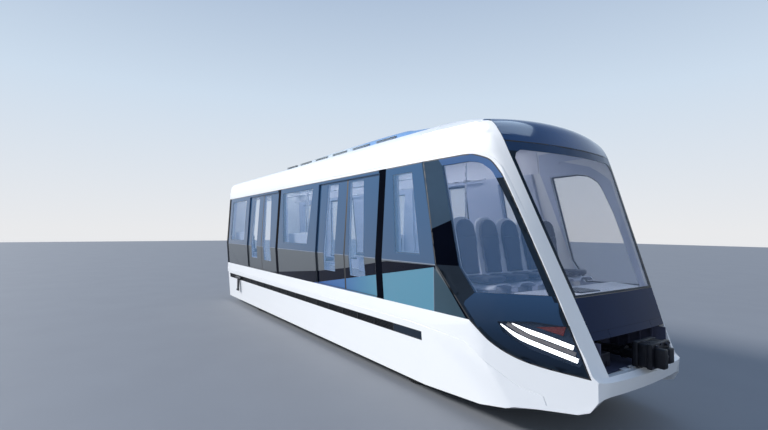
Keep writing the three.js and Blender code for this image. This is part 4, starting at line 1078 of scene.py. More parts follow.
def add_lamps(name, sign):
    def strip(line, grow, depths, start):
        return panel(band(spline(line, 6), LAMP_HALF + grow, start), sign, depths, CAB_NEAR)
    bars = [strip(line, 0, (0.016, 0.029), LAMP_START) for line in LAMP_BARS]
    bezels = []
    for line in LAMP_BARS:
        hollow = band(spline(line, 6), LAMP_HALF + 0.0005, LAMP_START + 0.0005)
        bezels.append(cut(strip(line, 0.005, (0.020, 0.0295), LAMP_START + 0.005),
                          prism(hollow, "Y", *reach(sign, CAB_NEAR))))
    add_parts(f"lamp_{name}", [
        ("bed", panel(inset_loop(LAMP_BOX, FIT), sign, (0.030, 0.040), CAB_NEAR), "lamp_bed"),
        ("bars", gathered(*bars), "lamp_bar"),
        ("bezels", gathered(*bezels), "chassis", "black_grille"),
        ("gap", panel(band(spline(LAMP_GAP, 6), GAP_HALF), sign, (0.022, 0.0295), CAB_NEAR), "lamp_gap"),
        ("marker", panel(MARKER, sign, (0.018, 0.029), CAB_NEAR), "marker_red"),
    ], [f"headlamp_{name}"], 40)


# Soft seats

PAD_START = (0.15, 0.80)                # shares of its thickness that a pad fills before it swells
CLOTH_FRAMES = 20
CLOTH_MASS = 0.25
CLOTH_PRESSURE = 4
SEAM_DEPTH, SEAM_HALF = 0.011, 0.010    # of a sewn channel
LIP = 0.045
LIP_STEPS = 6
SEAT_VOXEL, BENCH_VOXEL = 0.015, 0.018
PAD_SWELL, THIN_SWELL = 0.014, 0.012
BACK_HALF = spline([(0.150, 0.0), (0.166, 0.20), (0.182, 0.44), (0.178, 0.58), (0.150, 0.68), (0.085, 0.745),
                    (0.0, 0.765)], 4)
CUSHION_HALF = spline([(0.160, 0.0), (0.176, 0.10), (0.182, 0.28), (0.172, 0.40), (0.130, 0.455),
                       (0.0, 0.470)], 4)
SEAT_PLACES = (-0.880, -0.440, 0.0, 0.440, 0.880)
BACK_FOOT = (10.352, 1.665)
BACK_HEAD = (10.222, 2.375)
# place along, height and half width
SEAT_LINE = spline([(0.545, 0.012, 0.150), (0.500, 0.000, 0.186), (0.300, -0.010, 0.190),
                    (0.090, 0.010, 0.190), (0.010, 0.080, 0.188), (-0.040, 0.240, 0.186),
                    (-0.090, 0.480, 0.192), (-0.122, 0.700, 0.186), (-0.140, 0.800, 0.160),
                    (-0.150, 0.848, 0.085)], 4)
SEAT_STAND = ((10.420, 10.600, -0.045, 0.045, 1.290, 1.575, 0.012),
              (10.380, 10.640, -0.110, 0.110, 1.552, 1.566, 0.005))
BENCHES = (("rear", 0.320, 1.960), ("middle", 4.640, 6.240))
BENCH_SEATS = 3
BENCH_PITCH = (BENCHES[0][2] - BENCHES[0][1]) / BENCH_SEATS
BENCH_HALF = BENCH_PITCH / 2 - 0.030
BENCH_CUSHION = [(BENCH_HALF - 0.02, 0.0), (BENCH_HALF, 0.03), (BENCH_HALF, 0.27), (BENCH_HALF - 0.02, 0.30)]
BENCH_BACK = [(BENCH_HALF - 0.01, 0.0), (BENCH_HALF, 0.03), (BENCH_HALF - 0.01, 0.34),
              (BENCH_HALF - 0.05, 0.41), (BENCH_HALF - 0.12, 0.43)]
BENCH_BACK_SHELL = ((1.052, 1.594), (1.084, 1.594), (1.106, 2.150), (1.094, 2.158), (1.080, 2.150))


def inflated(outline, thickness, voxel, cap, seams):
    """A stuffed pad: outline in (u, v), its back flat at w 0 and its front crowned at about thickness."""
    start = loft([[(u, v, share * thickness) for u, v in outline] for share in PAD_START])
    piece = linked(bpy.data.objects.new("pad_start", start))
    remesh = piece.modifiers.new("remesh", "REMESH")
    remesh.mode = "VOXEL"
    remesh.voxel_size = voxel
    base = evaluated(piece)
    piece.modifiers.clear()
    piece.data = base
    cloth = piece.modifiers.new("cloth", "CLOTH")
    cloth.settings.quality = 5
    cloth.settings.mass = CLOTH_MASS
    cloth.settings.use_pressure = True
    cloth.settings.uniform_pressure_force = CLOTH_PRESSURE
    cloth.settings.effector_weights.gravity = 0
    cloth.point_cache.frame_start = 1
    cloth.point_cache.frame_end = CLOTH_FRAMES
    for count in range(1, CLOTH_FRAMES + 1):
        bpy.context.scene.frame_set(count)
    swollen = evaluated(piece)
    piece.modifiers.clear()
    for vertex, moved in zip(base.vertices, swollen.vertices):
        step = moved.co - vertex.co
        vertex.co += step * min(1.0, cap / max(step.length, 1e-9))
    bpy.context.scene.frame_set(1)
    piece.modifiers.new("smooth", "SUBSURF").levels = 1
    pad = evaluated(piece)
    bpy.data.objects.remove(piece)
    for vertex in pad.vertices:
        vertex.co.z = max(vertex.co.z, 0.0)
        if vertex.co.z > 0.5 * thickness:
            for place in seams:
                vertex.co.z -= SEAM_DEPTH * math.exp(-((vertex.co.y - place) / SEAM_HALF) ** 2)
    return pad


def frame_matrix(origin, across, along):
    """Local u, v and w to frame axes, w being across x along."""
    u, v = Vector(across).normalized(), Vector(along).normalized()
    return Matrix.Translation(origin) @ Matrix((u, v, u.cross(v))).transposed().to_4x4()


def curved_shell(line, thickness, matrix):
    """A moulded seat shell: rows of place along, height and half width, with raised side lips."""
    rings = []
    for i, (v, w, half) in enumerate(line):
        ahead, behind = line[min(i + 1, len(line) - 1)], line[max(i - 1, 0)]
        length = math.hypot(ahead[0] - behind[0], ahead[1] - behind[1])
        nv, nw = -(ahead[1] - behind[1]) / length, (ahead[0] - behind[0]) / length
        front, back = [], []
        for k in range(-LIP_STEPS, LIP_STEPS + 1):
            share = k / LIP_STEPS
            rise = LIP * abs(share) ** 5
            front.append((share * half, v + nv * rise, w + nw * rise))
            back.append((share * (half + 0.002), v + nv * (rise - thickness), w + nw * (rise - thickness)))
        rings.append([tuple(matrix @ Vector(point)) for point in front + back[::-1]])
    return loft(rings)


def add_padded(name, mesh, matrix):
    piece = show(name, copied(mesh, matrix), "seat_cloth", 60)


def add_front_seats():
    back = inflated(mirrored(BACK_HALF), 0.075, SEAT_VOXEL, PAD_SWELL, (0.50,))
    cushion = inflated(mirrored(CUSHION_HALF), 0.080, SEAT_VOXEL, PAD_SWELL, (0.16, 0.31))
    lean = (BACK_HEAD[0] - BACK_FOOT[0], 0, BACK_HEAD[1] - BACK_FOOT[1])
    shells, stands = [], []
    for k, y in enumerate(SEAT_PLACES):
        back_place = (at(BACK_FOOT[0]) - 0.040, y, BACK_FOOT[1] - 0.004)
        add_padded(f"front_back_pad_{k}", back, frame_matrix(back_place, (0, 1, 0), lean))
        add_padded(f"front_cushion_{k}", cushion,
                   frame_matrix((at(10.372), y, 1.598), (0, -1, 0), (1, 0, 0.03)))
        shell_place = frame_matrix((at(10.330), y, 1.582), (0, -1, 0), (1, 0, 0))
        shells.append(curved_shell(SEAT_LINE, 0.014, shell_place))
        stands += blocks(SEAT_STAND, y=y)
    show("front_seat_shells", gathered(*shells), "seat_shell", 50, ["front_seats"])
    show("front_seat_stands", gathered(*stands), "alloy", 30, slot="chassis")
    show("front_seat_plinth", block(10.330, 10.700, -1.020, 1.020, SILL_Z, 1.300, 0.012), "lining", 30)


def add_benches():
    cushion = inflated(mirrored(BENCH_CUSHION), 0.085, BENCH_VOXEL, PAD_SWELL, (0.15,))
    back = inflated(mirrored(BENCH_BACK), 0.055, BENCH_VOXEL, THIN_SWELL, (0.28,))
    for place, x0, x1 in BENCHES:
        base = block(x0 + 0.060, x1 - 0.060, 0.800, 1.040, SILL_Z, 1.560, 0.012)
        seat_shell = gathered(block(x0, x1, 0.690, 1.084, 1.562, 1.592, 0.010),
                              loft([[(at(x), y, z) for y, z in BENCH_BACK_SHELL] for x in (x0, x1)]))
        for side, sign in SIDES:
            flip = Matrix.Identity(4) if sign > 0 else MIRROR
            bench = f"{place}_{side}"
            show(f"bench_shell_{bench}", copied(seat_shell, flip), "seat_shell", 30, [f"bench_{bench}"])
            show(f"bench_base_{bench}", copied(base, flip), "lining", 30)
            for k in range(BENCH_SEATS):
                x = at(x0 + BENCH_PITCH * (k + 0.5))
                add_padded(f"bench_cushion_{bench}_{k}", cushion,
                           flip @ frame_matrix((x, 0.712, 1.593), (1, 0, 0), (0, 1, 0)))
                add_padded(f"bench_back_{bench}_{k}", back,
                           flip @ frame_matrix((x, 1.048, 1.690), (1, 0, 0), (0, 0.055, 1)))


# Other interior pieces

RAIL_Y, RAIL_Z, RAIL_RADIUS = 0.520, 3.120, 0.017
RAIL_ENDS = (1.2, 9.3)
POLES = (2.000, 4.440, 6.440, 8.840)
POLE_TOP = 3.691
SLEEVE_FIRST, SLEEVE_PITCH = 1.45, 0.46
SLEEVES = 17
CEILING_SPAN = (0.25, 9.75)
CEILING_LINER = 0.009
CONSOLE = [(11.080, SILL_Z), (11.860, SILL_Z), (11.700, 1.515), (11.180, 1.515)]
CONSOLE_TOP = [(11.712, 1.517), (11.702, 1.545)] + spline([
    (11.165, 1.545), (11.150, 1.531), (11.165, 1.517)], 4)
KEY_FIRST, KEY_PITCH = (11.36, -0.37), 0.05


def add_rails(side, sign):
    y = sign * RAIL_Y
    bars = [rod([(at(x), y, RAIL_Z) for x in RAIL_ENDS], RAIL_RADIUS, 20)]
    fittings = []
    for x in POLES:
        bars.append(rod([(at(x), y, SILL_Z), (at(x), y, POLE_TOP)], RAIL_RADIUS, 20))
        fittings += [disc(0.040, SILL_Z, SILL_Z + 0.008, 24, (at(x), y, 0)),
                     disc(0.024, RAIL_Z - 0.032, RAIL_Z + 0.032, 20, (at(x), y, 0))]
    for k in range(SLEEVES):
        x = at(SLEEVE_FIRST + SLEEVE_PITCH * k)
        fittings.append(disc(0.021, x - 0.012, x + 0.012, 16, (0, y, RAIL_Z), "X"))
    show(f"rails_{side}", gathered(*bars), "stainless", 40, [f"handrail_{side}"])
    show(f"rail_fittings_{side}", gathered(*fittings), "alloy", 40)


def ceiling_strip(near, far, depth, sign):
    """A strip along the ceiling, from its panel down by a depth."""
    region = block(*CEILING_SPAN, sign * near, sign * far, GLASS_TOP, 3.9)
    return keep(shell(SHELL + CEILING_LINER + 0.0005, SHELL + depth), region)


def add_interior():
    for side, sign in SIDES:
        add_rails(side, sign)
    region = through(rectangle(END_FRAME + 0.010, ROOF_END - 0.010, 3.205, 3.9))
    show("ceiling_panel", keep(shell(SHELL + 0.001, SHELL + CEILING_LINER), region), "ceiling", 40)
    strips = [ceiling_strip(0.60, 0.72, 0.020, sign) for _, sign in SIDES]
    grilles = [ceiling_strip(0.18 + 0.03 * k, 0.19 + 0.03 * k, 0.014, sign)
               for _, sign in SIDES for k in range(4)]
    show("ceiling_lights", gathered(*strips), "cabin_light", 40)
    show("ceiling_air_grilles", gathered(*grilles), "black_grille", 40)
    sills, plate, rib = [], SILL_Z + 0.004, SILL_Z + 0.007
    for _, start, _, end in DOORS:
        for _, sign in SIDES:
            sills.append(block(start + 0.01, end - 0.01, sign * 1.090, sign * 1.170, SILL_Z, plate, 0.001))
            sills += [block(start + 0.03, end - 0.03, sign * y - 0.002, sign * y + 0.002, plate, rib)
                      for y in (1.105, 1.125, 1.145)]
    show("door_sills", gathered(*sills), "stainless", 30)
    inside = body(SHELL + 0.014)
    show("console_base", keep(prism(CONSOLE, "Y", -1.050, 1.050), inside), "lining", 30, ["console"])
    show("console_shelf", keep(prism(CONSOLE_TOP, "Y", -1.046, 1.046), inside), "console_shelf", 30)
    show("console_plate", block(11.30, 11.60, -0.42, -0.02, 1.545, 1.556, 0.004), "black_grille", 30)
    x, y = KEY_FIRST
    keys = [disc(0.012, 1.556, 1.561, 16, (at(x + KEY_PITCH * i), y + KEY_PITCH * j, 0))
            for i in range(5) for j in range(7)]
    show("console_keys", gathered(*keys), "alloy", 30)


# Coupler and its mouth

# station, half width, half height and height of the middle
SHANK = ((11.400, 0.066, 0.050, 0.880), (11.560, 0.050, 0.042, 0.885),
         (11.900, 0.050, 0.042, 0.896), (12.055, 0.070, 0.050, 0.900))
COUPLER_HEAD = (
    (12.040, 12.100, -0.208, 0.208, 0.814, 1.078, 0.012),
    (12.090, 12.200, -0.185, 0.185, 0.822, 1.066, 0.020),
    (12.190, 12.240, -0.208, 0.208, 0.816, 1.076, 0.010),
    (12.230, 12.340, -0.150, -0.060, 0.835, 1.038, 0.016),
    (12.230, 12.300, 0.060, 0.170, 0.850, 1.010, 0.014),
)
# station and height
SHANK_COLLARS = ((11.520, 0.884), (11.840, 0.895))
COLLAR_WIDTH = 0.040
SIDE_RODS = ((11.560, 0.884), (11.840, 0.895))
HEAD_FACE = 12.240
HEAD_BOLTS = ((-0.185, 0.840), (-0.185, 1.050), (0.185, 0.840), (0.185, 1.050), (0, 0.830), (0, 1.060))
HEAD_HANDLE = ((12.10, 1.072), (12.10, 1.080), (12.19, 1.080), (12.19, 1.070))
# radius and distance ahead of the head's face
HEAD_PIN = ((0, 0), (0.030, 0), (0.024, 0.050), (0.008, 0.076), (0, 0.076))
MOUTH_MIDDLE = ((11.300, 11.975, -0.706, 0.706, 0.770, 0.784, 0),
                (11.505, 11.860, -0.745, 0.745, 1.096, 1.104, 0))
MOUTH_SIDE = [(11.300, 11.312, 0.310, 0.706, 0.784, 1.082, 0),
              (11.300, 11.985, 0.706, 0.714, 0.770, 1.104, 0)]
MOUTH_SIDE += [(11.40 + 0.14 * k, 11.42 + 0.14 * k, 0.690, 0.706, 0.790, 1.090, 0) for k in range(4)]
MOUTH_BOXES = ((11.680, 11.860, -0.520, -0.300, 0.785, 0.935, 0.010),
               (11.700, 11.840, 0.330, 0.520, 0.785, 0.900, 0.010))
# Steel step pads on the bumper ledge, given white paint as a painted highlight for their bright reflection
LEDGE_PAD_HIGHLIGHT = ((11.985, 12.050, -0.055, 0.055, 0.7905, 0.797, 0.002),)


def add_coupler():
    """Front coupler on its swing pin, dark with a few bright fittings."""
    shank = loft([[(at(x), y, middle + z) for y, z in rectangle(-w, w, -h, h)] for x, w, h, middle in SHANK])
    dark = [shank, disc(0.088, 0.800, 0.960, 32, (at(11.400), 0, 0)), *blocks(COUPLER_HEAD)]
    dark += [disc(0.070, at(x), at(x + COLLAR_WIDTH), 24, (0, 0, z), "X") for x, z in SHANK_COLLARS]
    face = at(HEAD_FACE)
    bright = [rod([(at(x), y, z) for x, z in SIDE_RODS], 0.012, 12) for y in (-0.062, 0.062)]
    bright += [disc(0.014, face, face + 0.009, 6, (0, y, z), "X") for y, z in HEAD_BOLTS]
    bright.append(lathe([(r, face + ahead) for r, ahead in HEAD_PIN], 20, (0, 0, 0.945), "X"))
    bright += [disc(0.018, face, face + 0.022, 16, (0, y, 1.045), "X") for y in (-0.105, 0.115)]
    bright += [rod([(at(x), y, z) for x, z in HEAD_HANDLE], 0.004, 8) for y in (-0.12, 0.12)]
    show("coupler_body", gathered(*dark), "coupler_metal", 35, ["front_coupler"], "front_coupler")
    show("coupler_fittings", gathered(*bright), "coupler_fittings", 35, body_name="front_coupler")
    lining = blocks(MOUTH_MIDDLE)
    for _, sign in SIDES:
        lining += blocks(MOUTH_SIDE, sign=sign)
    show("mouth_lining", gathered(*lining), "mouth_lining", 30)
    show("mouth_boxes", gathered(*blocks(MOUTH_BOXES)), "coupler_fittings", 30, slot="chassis")
    # white paint on steel pads: painted highlight
    pad_highlights = [blocks(LEDGE_PAD_HIGHLIGHT, y=y)[0] for y in (-0.30, -0.13, 0.13, 0.30)]
    show("ledge_pad_highlights", gathered(*pad_highlights), "roof_paint", 30, slot="stainless")


# Rear gangway and drawbar

# half width, lower and upper height and corner radius
FOLDS_OUTSIDE = (0.846, 1.064, 3.416, 0.12)
FOLDS_INSIDE = (0.690, 1.150, 3.280, 0.08)
FACE_OUTSIDE = (0.850, 1.060, 3.420, 0.12)
FACE_INSIDE = (0.664, 1.176, 3.254, 0.06)
PASSAGE = (0.650, 1.190, 3.240, 0.09)
FOLDS, FOLD_DEPTH, FOLD_STEPS = 7, 0.022, 6
CORNER_STEPS = 5
BELLOWS_END = -0.016
FACE_DEPTH = 0.022
END_BACK = -0.010
COLUMN_INSIDE = 1.16
DRAWBAR_Z = 0.735
DRAWBAR_PIN = 0.150
DRAWBAR_EYE = REAR_FACE + 0.100


def rounded_loop(half, z0, z1, radius, x=0.0, grow=0.0):
    half, z0, z1, radius = half + grow, z0 - grow, z1 + grow, max(radius + grow, 0.002)
    loop = []
    for cy, cz, first in ((half - radius, z0 + radius, -90), (half - radius, z1 - radius, 0),
                          (-half + radius, z1 - radius, 90), (-half + radius, z0 + radius, 180)):
        for k in range(CORNER_STEPS + 1):
            turn = math.radians(first + 90 * k / CORNER_STEPS)
            loop.append((at(x), cy + radius * math.cos(turn), cz + radius * math.sin(turn)))
    return loop


def passage(x0, x1, grow=0.0):
    """The gangway's opening as a solid between two stations."""
    return prism([(y, z) for _, y, z in rounded_loop(*PASSAGE, grow=grow)], "X", x0, x1)


def face_frame(x0, x1):
    rings = [rounded_loop(*FACE_OUTSIDE, x) for x in (x0, x1)]
    return loft(rings + [rounded_loop(*FACE_INSIDE, x) for x in (x1, x0)], closed=True)


def add_rear():
    """End frame, folded bellows with its face frames, and the drawbar."""
    outer, inner = [], []
    steps = FOLDS * FOLD_STEPS
    for i in range(steps + 1):
        x = between(REAR_FACE + FACE_DEPTH + 0.002, BELLOWS_END, i / steps)
        wave = -FOLD_DEPTH * (0.5 - 0.5 * math.cos(2 * math.pi * FOLDS * i / steps))
        outer.append(rounded_loop(*FOLDS_OUTSIDE, x, wave))
        inner.append(rounded_loop(*FOLDS_INSIDE, x, wave))
    show("bellows_folds", loft(outer + inner[::-1], closed=True), "bellows_cloth", 60, ["gangway_bellows"])
    faces = gathered(face_frame(REAR_FACE, REAR_FACE + FACE_DEPTH), face_frame(BELLOWS_END, -FIT))
    show("bellows_frames", faces, "alloy", 40)
    end_frame = cut(keep(body(0), through(rectangle(END_BACK, END_FRAME, 0.9, 4.0))), passage(-0.1, 0.2))
    across = {"axis": "X", "low": -1, "high": 1}
    (sides,), rest = divide(end_frame, rectangle(-FAR, FAR, SILL_Z, GLASS_TOP), **across)
    (middle,), edge = divide(sides, rectangle(-COLUMN_INSIDE, COLUMN_INSIDE, 1.0, 3.4), **across)
    show("end_frame", gathered(rest, middle), "white_paint", 28, ["rear_end_frame"])
    show("end_columns", edge, "black_frit", 28)
    trim = cut(passage(END_FRAME, END_FRAME + 0.010, 0.022), passage(-0.1, 0.2))
    show("gangway_trim", trim, "stainless", 40)
    bar = [rod([(at(DRAWBAR_EYE - 0.005), 0, DRAWBAR_Z), (at(DRAWBAR_PIN), 0, DRAWBAR_Z)], 0.045, 24),
           disc(0.078, 0.680, 0.790, 32, (at(DRAWBAR_PIN), 0, 0)),
           disc(0.074, 0.660, 0.810, 32, (at(DRAWBAR_EYE), 0, 0))]
    bar += [disc(0.060, at(x), at(x + 0.03), 24, (0, 0, DRAWBAR_Z), "X") for x in (-0.05, 0.03)]
    nuts = [disc(0.030, z, z + 0.014, 6, (at(x), 0, 0))
            for x, z in ((DRAWBAR_PIN, 0.666), (DRAWBAR_EYE, 0.810), (DRAWBAR_EYE, 0.646))]
    show("drawbar_body", gathered(*bar), "chassis", 35, ["rear_drawbar"], "rear_drawbar")
    show("drawbar_nuts", gathered(*nuts), "alloy", 30, body_name="rear_drawbar")


# Wheels

WHEEL_Y = 0.900
TREAD_BLOCKS = 54
TREAD_GROOVES = (-0.052, 0.0, 0.052)
TREAD_DEPTH = 0.010
WHEEL_NUTS, NUT_R = 10, 0.178
GUIDE_BOLTS = 8
# radius and height of the tyre's wall, from the bead to the tread
TYRE_WALL = [(0.252, 0.108), (0.300, 0.120), (0.360, 0.125), (0.400, 0.121), (0.421, 0.104), (TYRE_R, 0.088)]
LUG = (-0.011, 0.011, 0.084, 0.118, 0.402, 0.4285, 0.002)       # a shoulder block of the tread
# radius and height
RIM = [(0.062, -0.058), (0.148, -0.058), (0.150, -0.020), (0.200, -0.016), (0.238, -0.030), (0.240, -0.100),
       (0.262, -0.112), (0.262, -0.104), (0.250, -0.094), (0.249, 0.094), (0.262, 0.104), (0.262, 0.112),
       (0.240, 0.100), (0.238, 0.036), (0.200, 0.026), (0.150, 0.030), (0.148, 0.078), (0.062, 0.078)]
HUB = [(0.0, 0.081), (0.052, 0.081), (0.058, 0.084), (0.058, 0.094), (0.040, 0.104), (0.0, 0.106)]
GUIDE_TYRE = [(0.092, 0.006), (0.120, 0.0), (0.130, 0.010), (0.130, 0.090), (0.120, 0.100), (0.092, 0.094)]
GUIDE_HUB = [(0.034, 0.004), (0.060, 0.004), (0.062, 0.014), (0.086, 0.016), (0.0915, 0.006), (0.0915, 0.094),
             (0.086, 0.084), (0.062, 0.086), (0.060, 0.096), (0.034, 0.096)]
GUIDE_PLACES = (("back", -0.800), ("fore", 0.800))
GUIDE_Y, GUIDE_Z = 0.240, 0.060


def wheel_meshes():
    """Tyre with grooved tread and shoulder blocks, rim and hub parts, about the Y axis, outside at +Y."""
    outline = [(r, -y) for r, y in TYRE_WALL]
    for y in TREAD_GROOVES:
        outline += [(TYRE_R, y - 0.006), (TYRE_R - TREAD_DEPTH, y - 0.004), (TYRE_R - TREAD_DEPTH, y + 0.004),
                    (TYRE_R, y + 0.006)]
    tyre = lathe(outline + TYRE_WALL[::-1], 96, axis="Y")
    lugs = turned(gathered(*blocks([LUG], CENTRE), *blocks([LUG], CENTRE, sign=-1)), TREAD_BLOCKS, "Y")
    nut = disc(0.014, 0.028, 0.050, 6, (NUT_R, 0, 0), "Y")
    stud = disc(0.007, 0.050, 0.060, 10, (NUT_R, 0, 0), "Y")
    hub = gathered(lathe(HUB, 32, axis="Y"), turned(gathered(nut, stud), WHEEL_NUTS, "Y"))
    return gathered(tyre, lugs), lathe(RIM, 64, axis="Y"), hub


def add_wheels():
    rubber, rim, hub = wheel_meshes()
    guide_tyre = lathe(GUIDE_TYRE, 56)
    bolt = disc(0.006, 0.008, 0.018, 6, (0.074, 0, 0))
    guide_hub = gathered(lathe(GUIDE_HUB, 48), turned(bolt, GUIDE_BOLTS, "Z"))
    for end, x in AXLES:
        for side, sign in SIDES:
            wheel, turning = f"{end}_{side}", f"{end}_{side}_wheel"
            flip = MIRROR if sign < 0 else Matrix.Identity(4)
            place = Matrix.Translation((at(x), sign * WHEEL_Y, TYRE_R)) @ flip
            show(f"tyre_{wheel}", copied(rubber, place), "tyre_rubber", 40, [f"wheel_{wheel}"], turning)
            show(f"rim_{wheel}", copied(rim, place), "equipment_grey", 40, (), turning, "stainless")
            show(f"hub_{wheel}", copied(hub, place), "alloy", 40, (), turning)
            for way, dx in GUIDE_PLACES:
                wheel, turning = f"{end}_{way}_{side}", f"{end}_{way}_{side}_guide"
                place = Matrix.Translation((at(x + dx), sign * GUIDE_Y, GUIDE_Z))
                show(f"guide_tyre_{wheel}", copied(guide_tyre, place), "tyre_rubber", 40,
                     [f"guide_wheel_{wheel}"], turning)
                show(f"guide_hub_{wheel}", copied(guide_hub, place), "alloy", 40, (), turning)


# Underframe, equipment and bogies

EDGE_ROUND = 0.004
SHARP_DEGREES = 35
SPRING_Y = 0.575
SPRING_ROLLS = 3
ROLL_FOOT, ROLL_PITCH = 0.722, 0.052
# radius and height over a roll's foot
ROLL = ((0.148, 0.004), (0.157, 0.018), (0.148, 0.034), (0.133, 0.044))
# distance from the axle's station, place outwards and height
STAY = ((0.20, 0.36, 0.50), (0.20, 0.36, 0.70), (0.16, 0.40, 0.76))
FINS, FIN_PITCH = 11, 0.034
FIN = (-0.540, -0.532, -0.211, 0.211, 0.352, 0.608, 0)
CASES, CASE_FIRST, CASE_PITCH, CASE_LENGTH = 5, 3.960, 0.770, 0.680
CASE_FACE = 1.050
COVER_FACE = CASE_FACE + 0.010
LOUVRES, LOUVRE_FOOT, LOUVRE_PITCH = 6, 0.50, 0.045
# place across, height and radius
PIPES = ((0.34, 1.02, 0.020), (0.40, 1.02, 0.014), (-0.36, 1.03, 0.017))
PIPE_SPANS = ((0.60, 2.05), (2.95, 8.70))


def refined(node, width=EDGE_ROUND):
    """A CAD solid with its sharp edges rounded."""
    def round_edges(work):
        bmesh.ops.remove_doubles(work, verts=work.verts, dist=WELD)
        bmesh.ops.dissolve_limit(work, angle_limit=math.radians(1), verts=work.verts, edges=work.edges)
        sharp = [edge for edge in work.edges if len(edge.link_faces) == 2
                 and edge.calc_face_angle(0) > math.radians(SHARP_DEGREES) and edge.calc_length() > 4 * width]
        bmesh.ops.bevel(work, geom=sharp, offset=width, segments=2, profile=0.5, affect="EDGES",
                        clamp_overlap=True)
    return reworked(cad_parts[node].data.copy(), round_edges)


def add_bogie(end, x):
    rolls = [(0.100, 0.700), (0.133, 0.706)]
    for k in range(SPRING_ROLLS):
        rolls += [(r, ROLL_FOOT + ROLL_PITCH * k + z) for r, z in ROLL]
    rolls.append((0.100, 0.872))
    springs, metal = [], []
    for _, sign in SIDES:
        place = (at(x), sign * SPRING_Y, 0)
        springs.append(lathe(rolls, 40, place))
        metal += [disc(0.150, 0.884, 0.898, 40, place), disc(0.150, 0.664, 0.680, 40, place)]
        metal += [disc(0.013, 0.640, 0.652, 6, (at(x + dx), sign * 0.60, 0))
                  for dx in (-0.31, -0.27, 0.27, 0.31)]
        metal.append(rod([(at(x + dx), sign * y, z) for dx, y, z in STAY], 0.016, 12))
    fins = [fin for k in range(FINS) for fin in blocks([FIN], x + FIN_PITCH * k)]
    bogie = f"{end}_bogie"
    show(f"bogie_frame_{end}", refined(f"bogie_{end}"), "chassis", 35, [f"bogie_{end}"], bogie)
    show(f"air_springs_{end}", gathered(*springs), "tyre_rubber", 50, (), bogie)
    show(f"spring_plates_{end}", gathered(*metal), "alloy", 35, (), bogie)
    show(f"motor_fins_{end}", gathered(*fins), "equipment_grey", 30, (), bogie)


def add_cases():
    """Covers, louvres and latches of the equipment cases."""
    covers, lines, latches = [], [], []
    for k in range(CASES):
        x0 = CASE_FIRST + CASE_PITCH * k
        x1 = x0 + CASE_LENGTH
        covers.append(block(x0, x1, -0.90, 0.90, 0.350, 0.3605, 0.003))
        heights = [LOUVRE_FOOT + LOUVRE_PITCH * row for row in range(LOUVRES)]
        for _, sign in SIDES:
            covers += blocks([(x0, x1, CASE_FACE, COVER_FACE, 0.450, 0.870, 0.004)], sign=sign)
            lines += blocks([(x0 + 0.08, x1 - 0.08, COVER_FACE, COVER_FACE + 0.006, z, z + 0.018, 0.002)
                             for z in heights], sign=sign)
            latches += blocks([(x - 0.018, x + 0.018, COVER_FACE, COVER_FACE + 0.012, 0.80, 0.85, 0.004)
                               for x in (x0 + 0.05, x1 - 0.05)], sign=sign)
        latches += [disc(0.010, 0.342, 0.350, 6, (at(x), y, 0)) for x in (x0 + 0.03, x1 - 0.03)
                    for y in (-0.85, -0.28, 0.28, 0.85)]
    show("case_covers", gathered(*covers), "equipment_grey", 30)
    show("case_louvres", gathered(*lines), "black_grille", 30)
    show("case_latches", gathered(*latches), "alloy", 30)


def add_running_gear():
    for end, x in AXLES:
        add_bogie(end, x)
    show("underframe_beams", refined("underframe"), "chassis", 35, ["underframe"])
    show("equipment_cases", refined("equipment_boxes", 0.010), "equipment_grey", 35, ["equipment_boxes"])
    add_cases()
    pipes = [rod([(at(x), y, z) for x in span], radius, 12) for span in PIPE_SPANS for y, z, radius in PIPES]
    show("floor_pipes", gathered(*pipes), "alloy", 40)


add_camera()
for side_name, side_sign in SIDES:
    add_side_glass(side_name, side_sign)
    add_lower_side(side_name, side_sign)
    add_collector(side_name, side_sign)
    for door_name, door_start, door_seam, door_end in DOORS:
        add_door(door_name, door_start, door_seam, door_end, side_name, side_sign)
    dress("lining", f"side_frame_{side_name}")
dress("floor_cover", "floor")
add_roof()
add_front()
add_nose()
add_front_seats()
add_benches()
add_interior()
add_coupler()
add_rear()
add_wheels()
add_running_gear()


# Studio

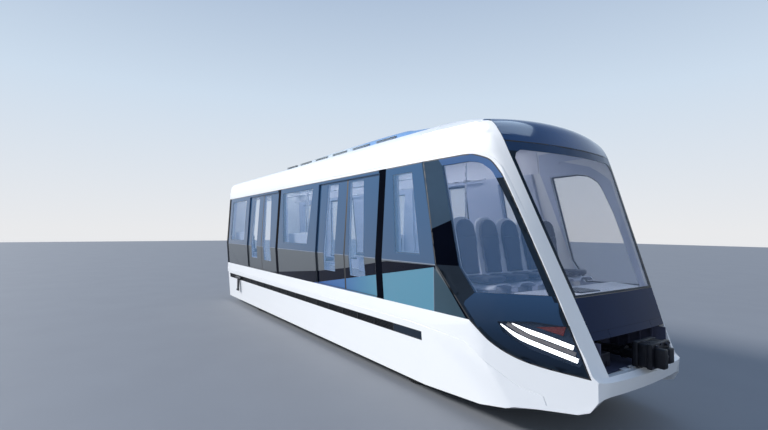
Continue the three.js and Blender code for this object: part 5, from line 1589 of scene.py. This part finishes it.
SUN_FROM = (-0.70, -0.56, 0.44)
SUN_ENERGY = 4.0
SUN_DEGREES = 12
SOFTBOX = (5.2, 2.6, 8.6)
SOFTBOX_LOOK = (5.0, -0.8, 3.5)
SOFTBOX_SIZE = (5.0, 2.2)
SOFTBOX_ENERGY = 64
SKY = ((0.0, (0.96, 0.97, 0.99)), (0.28, (0.72, 0.85, 1.0)), (0.80, (0.16, 0.28, 0.52)))
SKY_STRENGTH = 0.85
FLOOR_HALF = 80


def aimed(name, kind, direction):
    """A light whose back points along a direction."""
    light = linked(bpy.data.objects.new(name, bpy.data.lights.new(name, kind)))
    light.rotation_euler = Vector(direction).to_track_quat("Z", "Y").to_euler()
    return light


def add_sky():
    world = bpy.data.worlds.new("studio")
    bpy.context.scene.world = world
    world.use_nodes = True
    tree = world.node_tree
    ramp, place, parts = (tree.nodes.new(kind) for kind in (
        "ShaderNodeValToRGB", "ShaderNodeTexCoord", "ShaderNodeSeparateXYZ"))
    background = tree.nodes["Background"]
    tree.links.new(place.outputs["Generated"], parts.inputs["Vector"])
    tree.links.new(parts.outputs["Z"], ramp.inputs["Fac"])
    tree.links.new(ramp.outputs["Color"], background.inputs["Color"])
    fill_ramp(ramp.color_ramp, SKY)
    background.inputs["Strength"].default_value = SKY_STRENGTH


def add_studio():
    add_sky()
    sun = aimed("sun", "SUN", SUN_FROM)
    sun.data.energy = SUN_ENERGY
    sun.data.angle = math.radians(SUN_DEGREES)
    softbox = aimed("softbox", "AREA", Vector(SOFTBOX) - Vector(SOFTBOX_LOOK))
    softbox.location = SOFTBOX
    softbox.data.shape = "RECTANGLE"
    softbox.data.size, softbox.data.size_y = SOFTBOX_SIZE
    softbox.data.energy = SOFTBOX_ENERGY
    softbox.data.color = (0.66, 0.83, 1.0)
    softbox.visible_camera = False
    corners = [(x, y, 0) for x, y in rectangle(-FLOOR_HALF, FLOOR_HALF, -FLOOR_HALF, FLOOR_HALF)]
    floor = linked(bpy.data.objects.new("studio_floor", new_mesh("studio_floor", corners, [(0, 1, 2, 3)])))
    floor.data.materials.append(FINISH["studio_grey"].material)
    bpy.context.scene.view_settings.view_transform = "Standard"


add_studio()
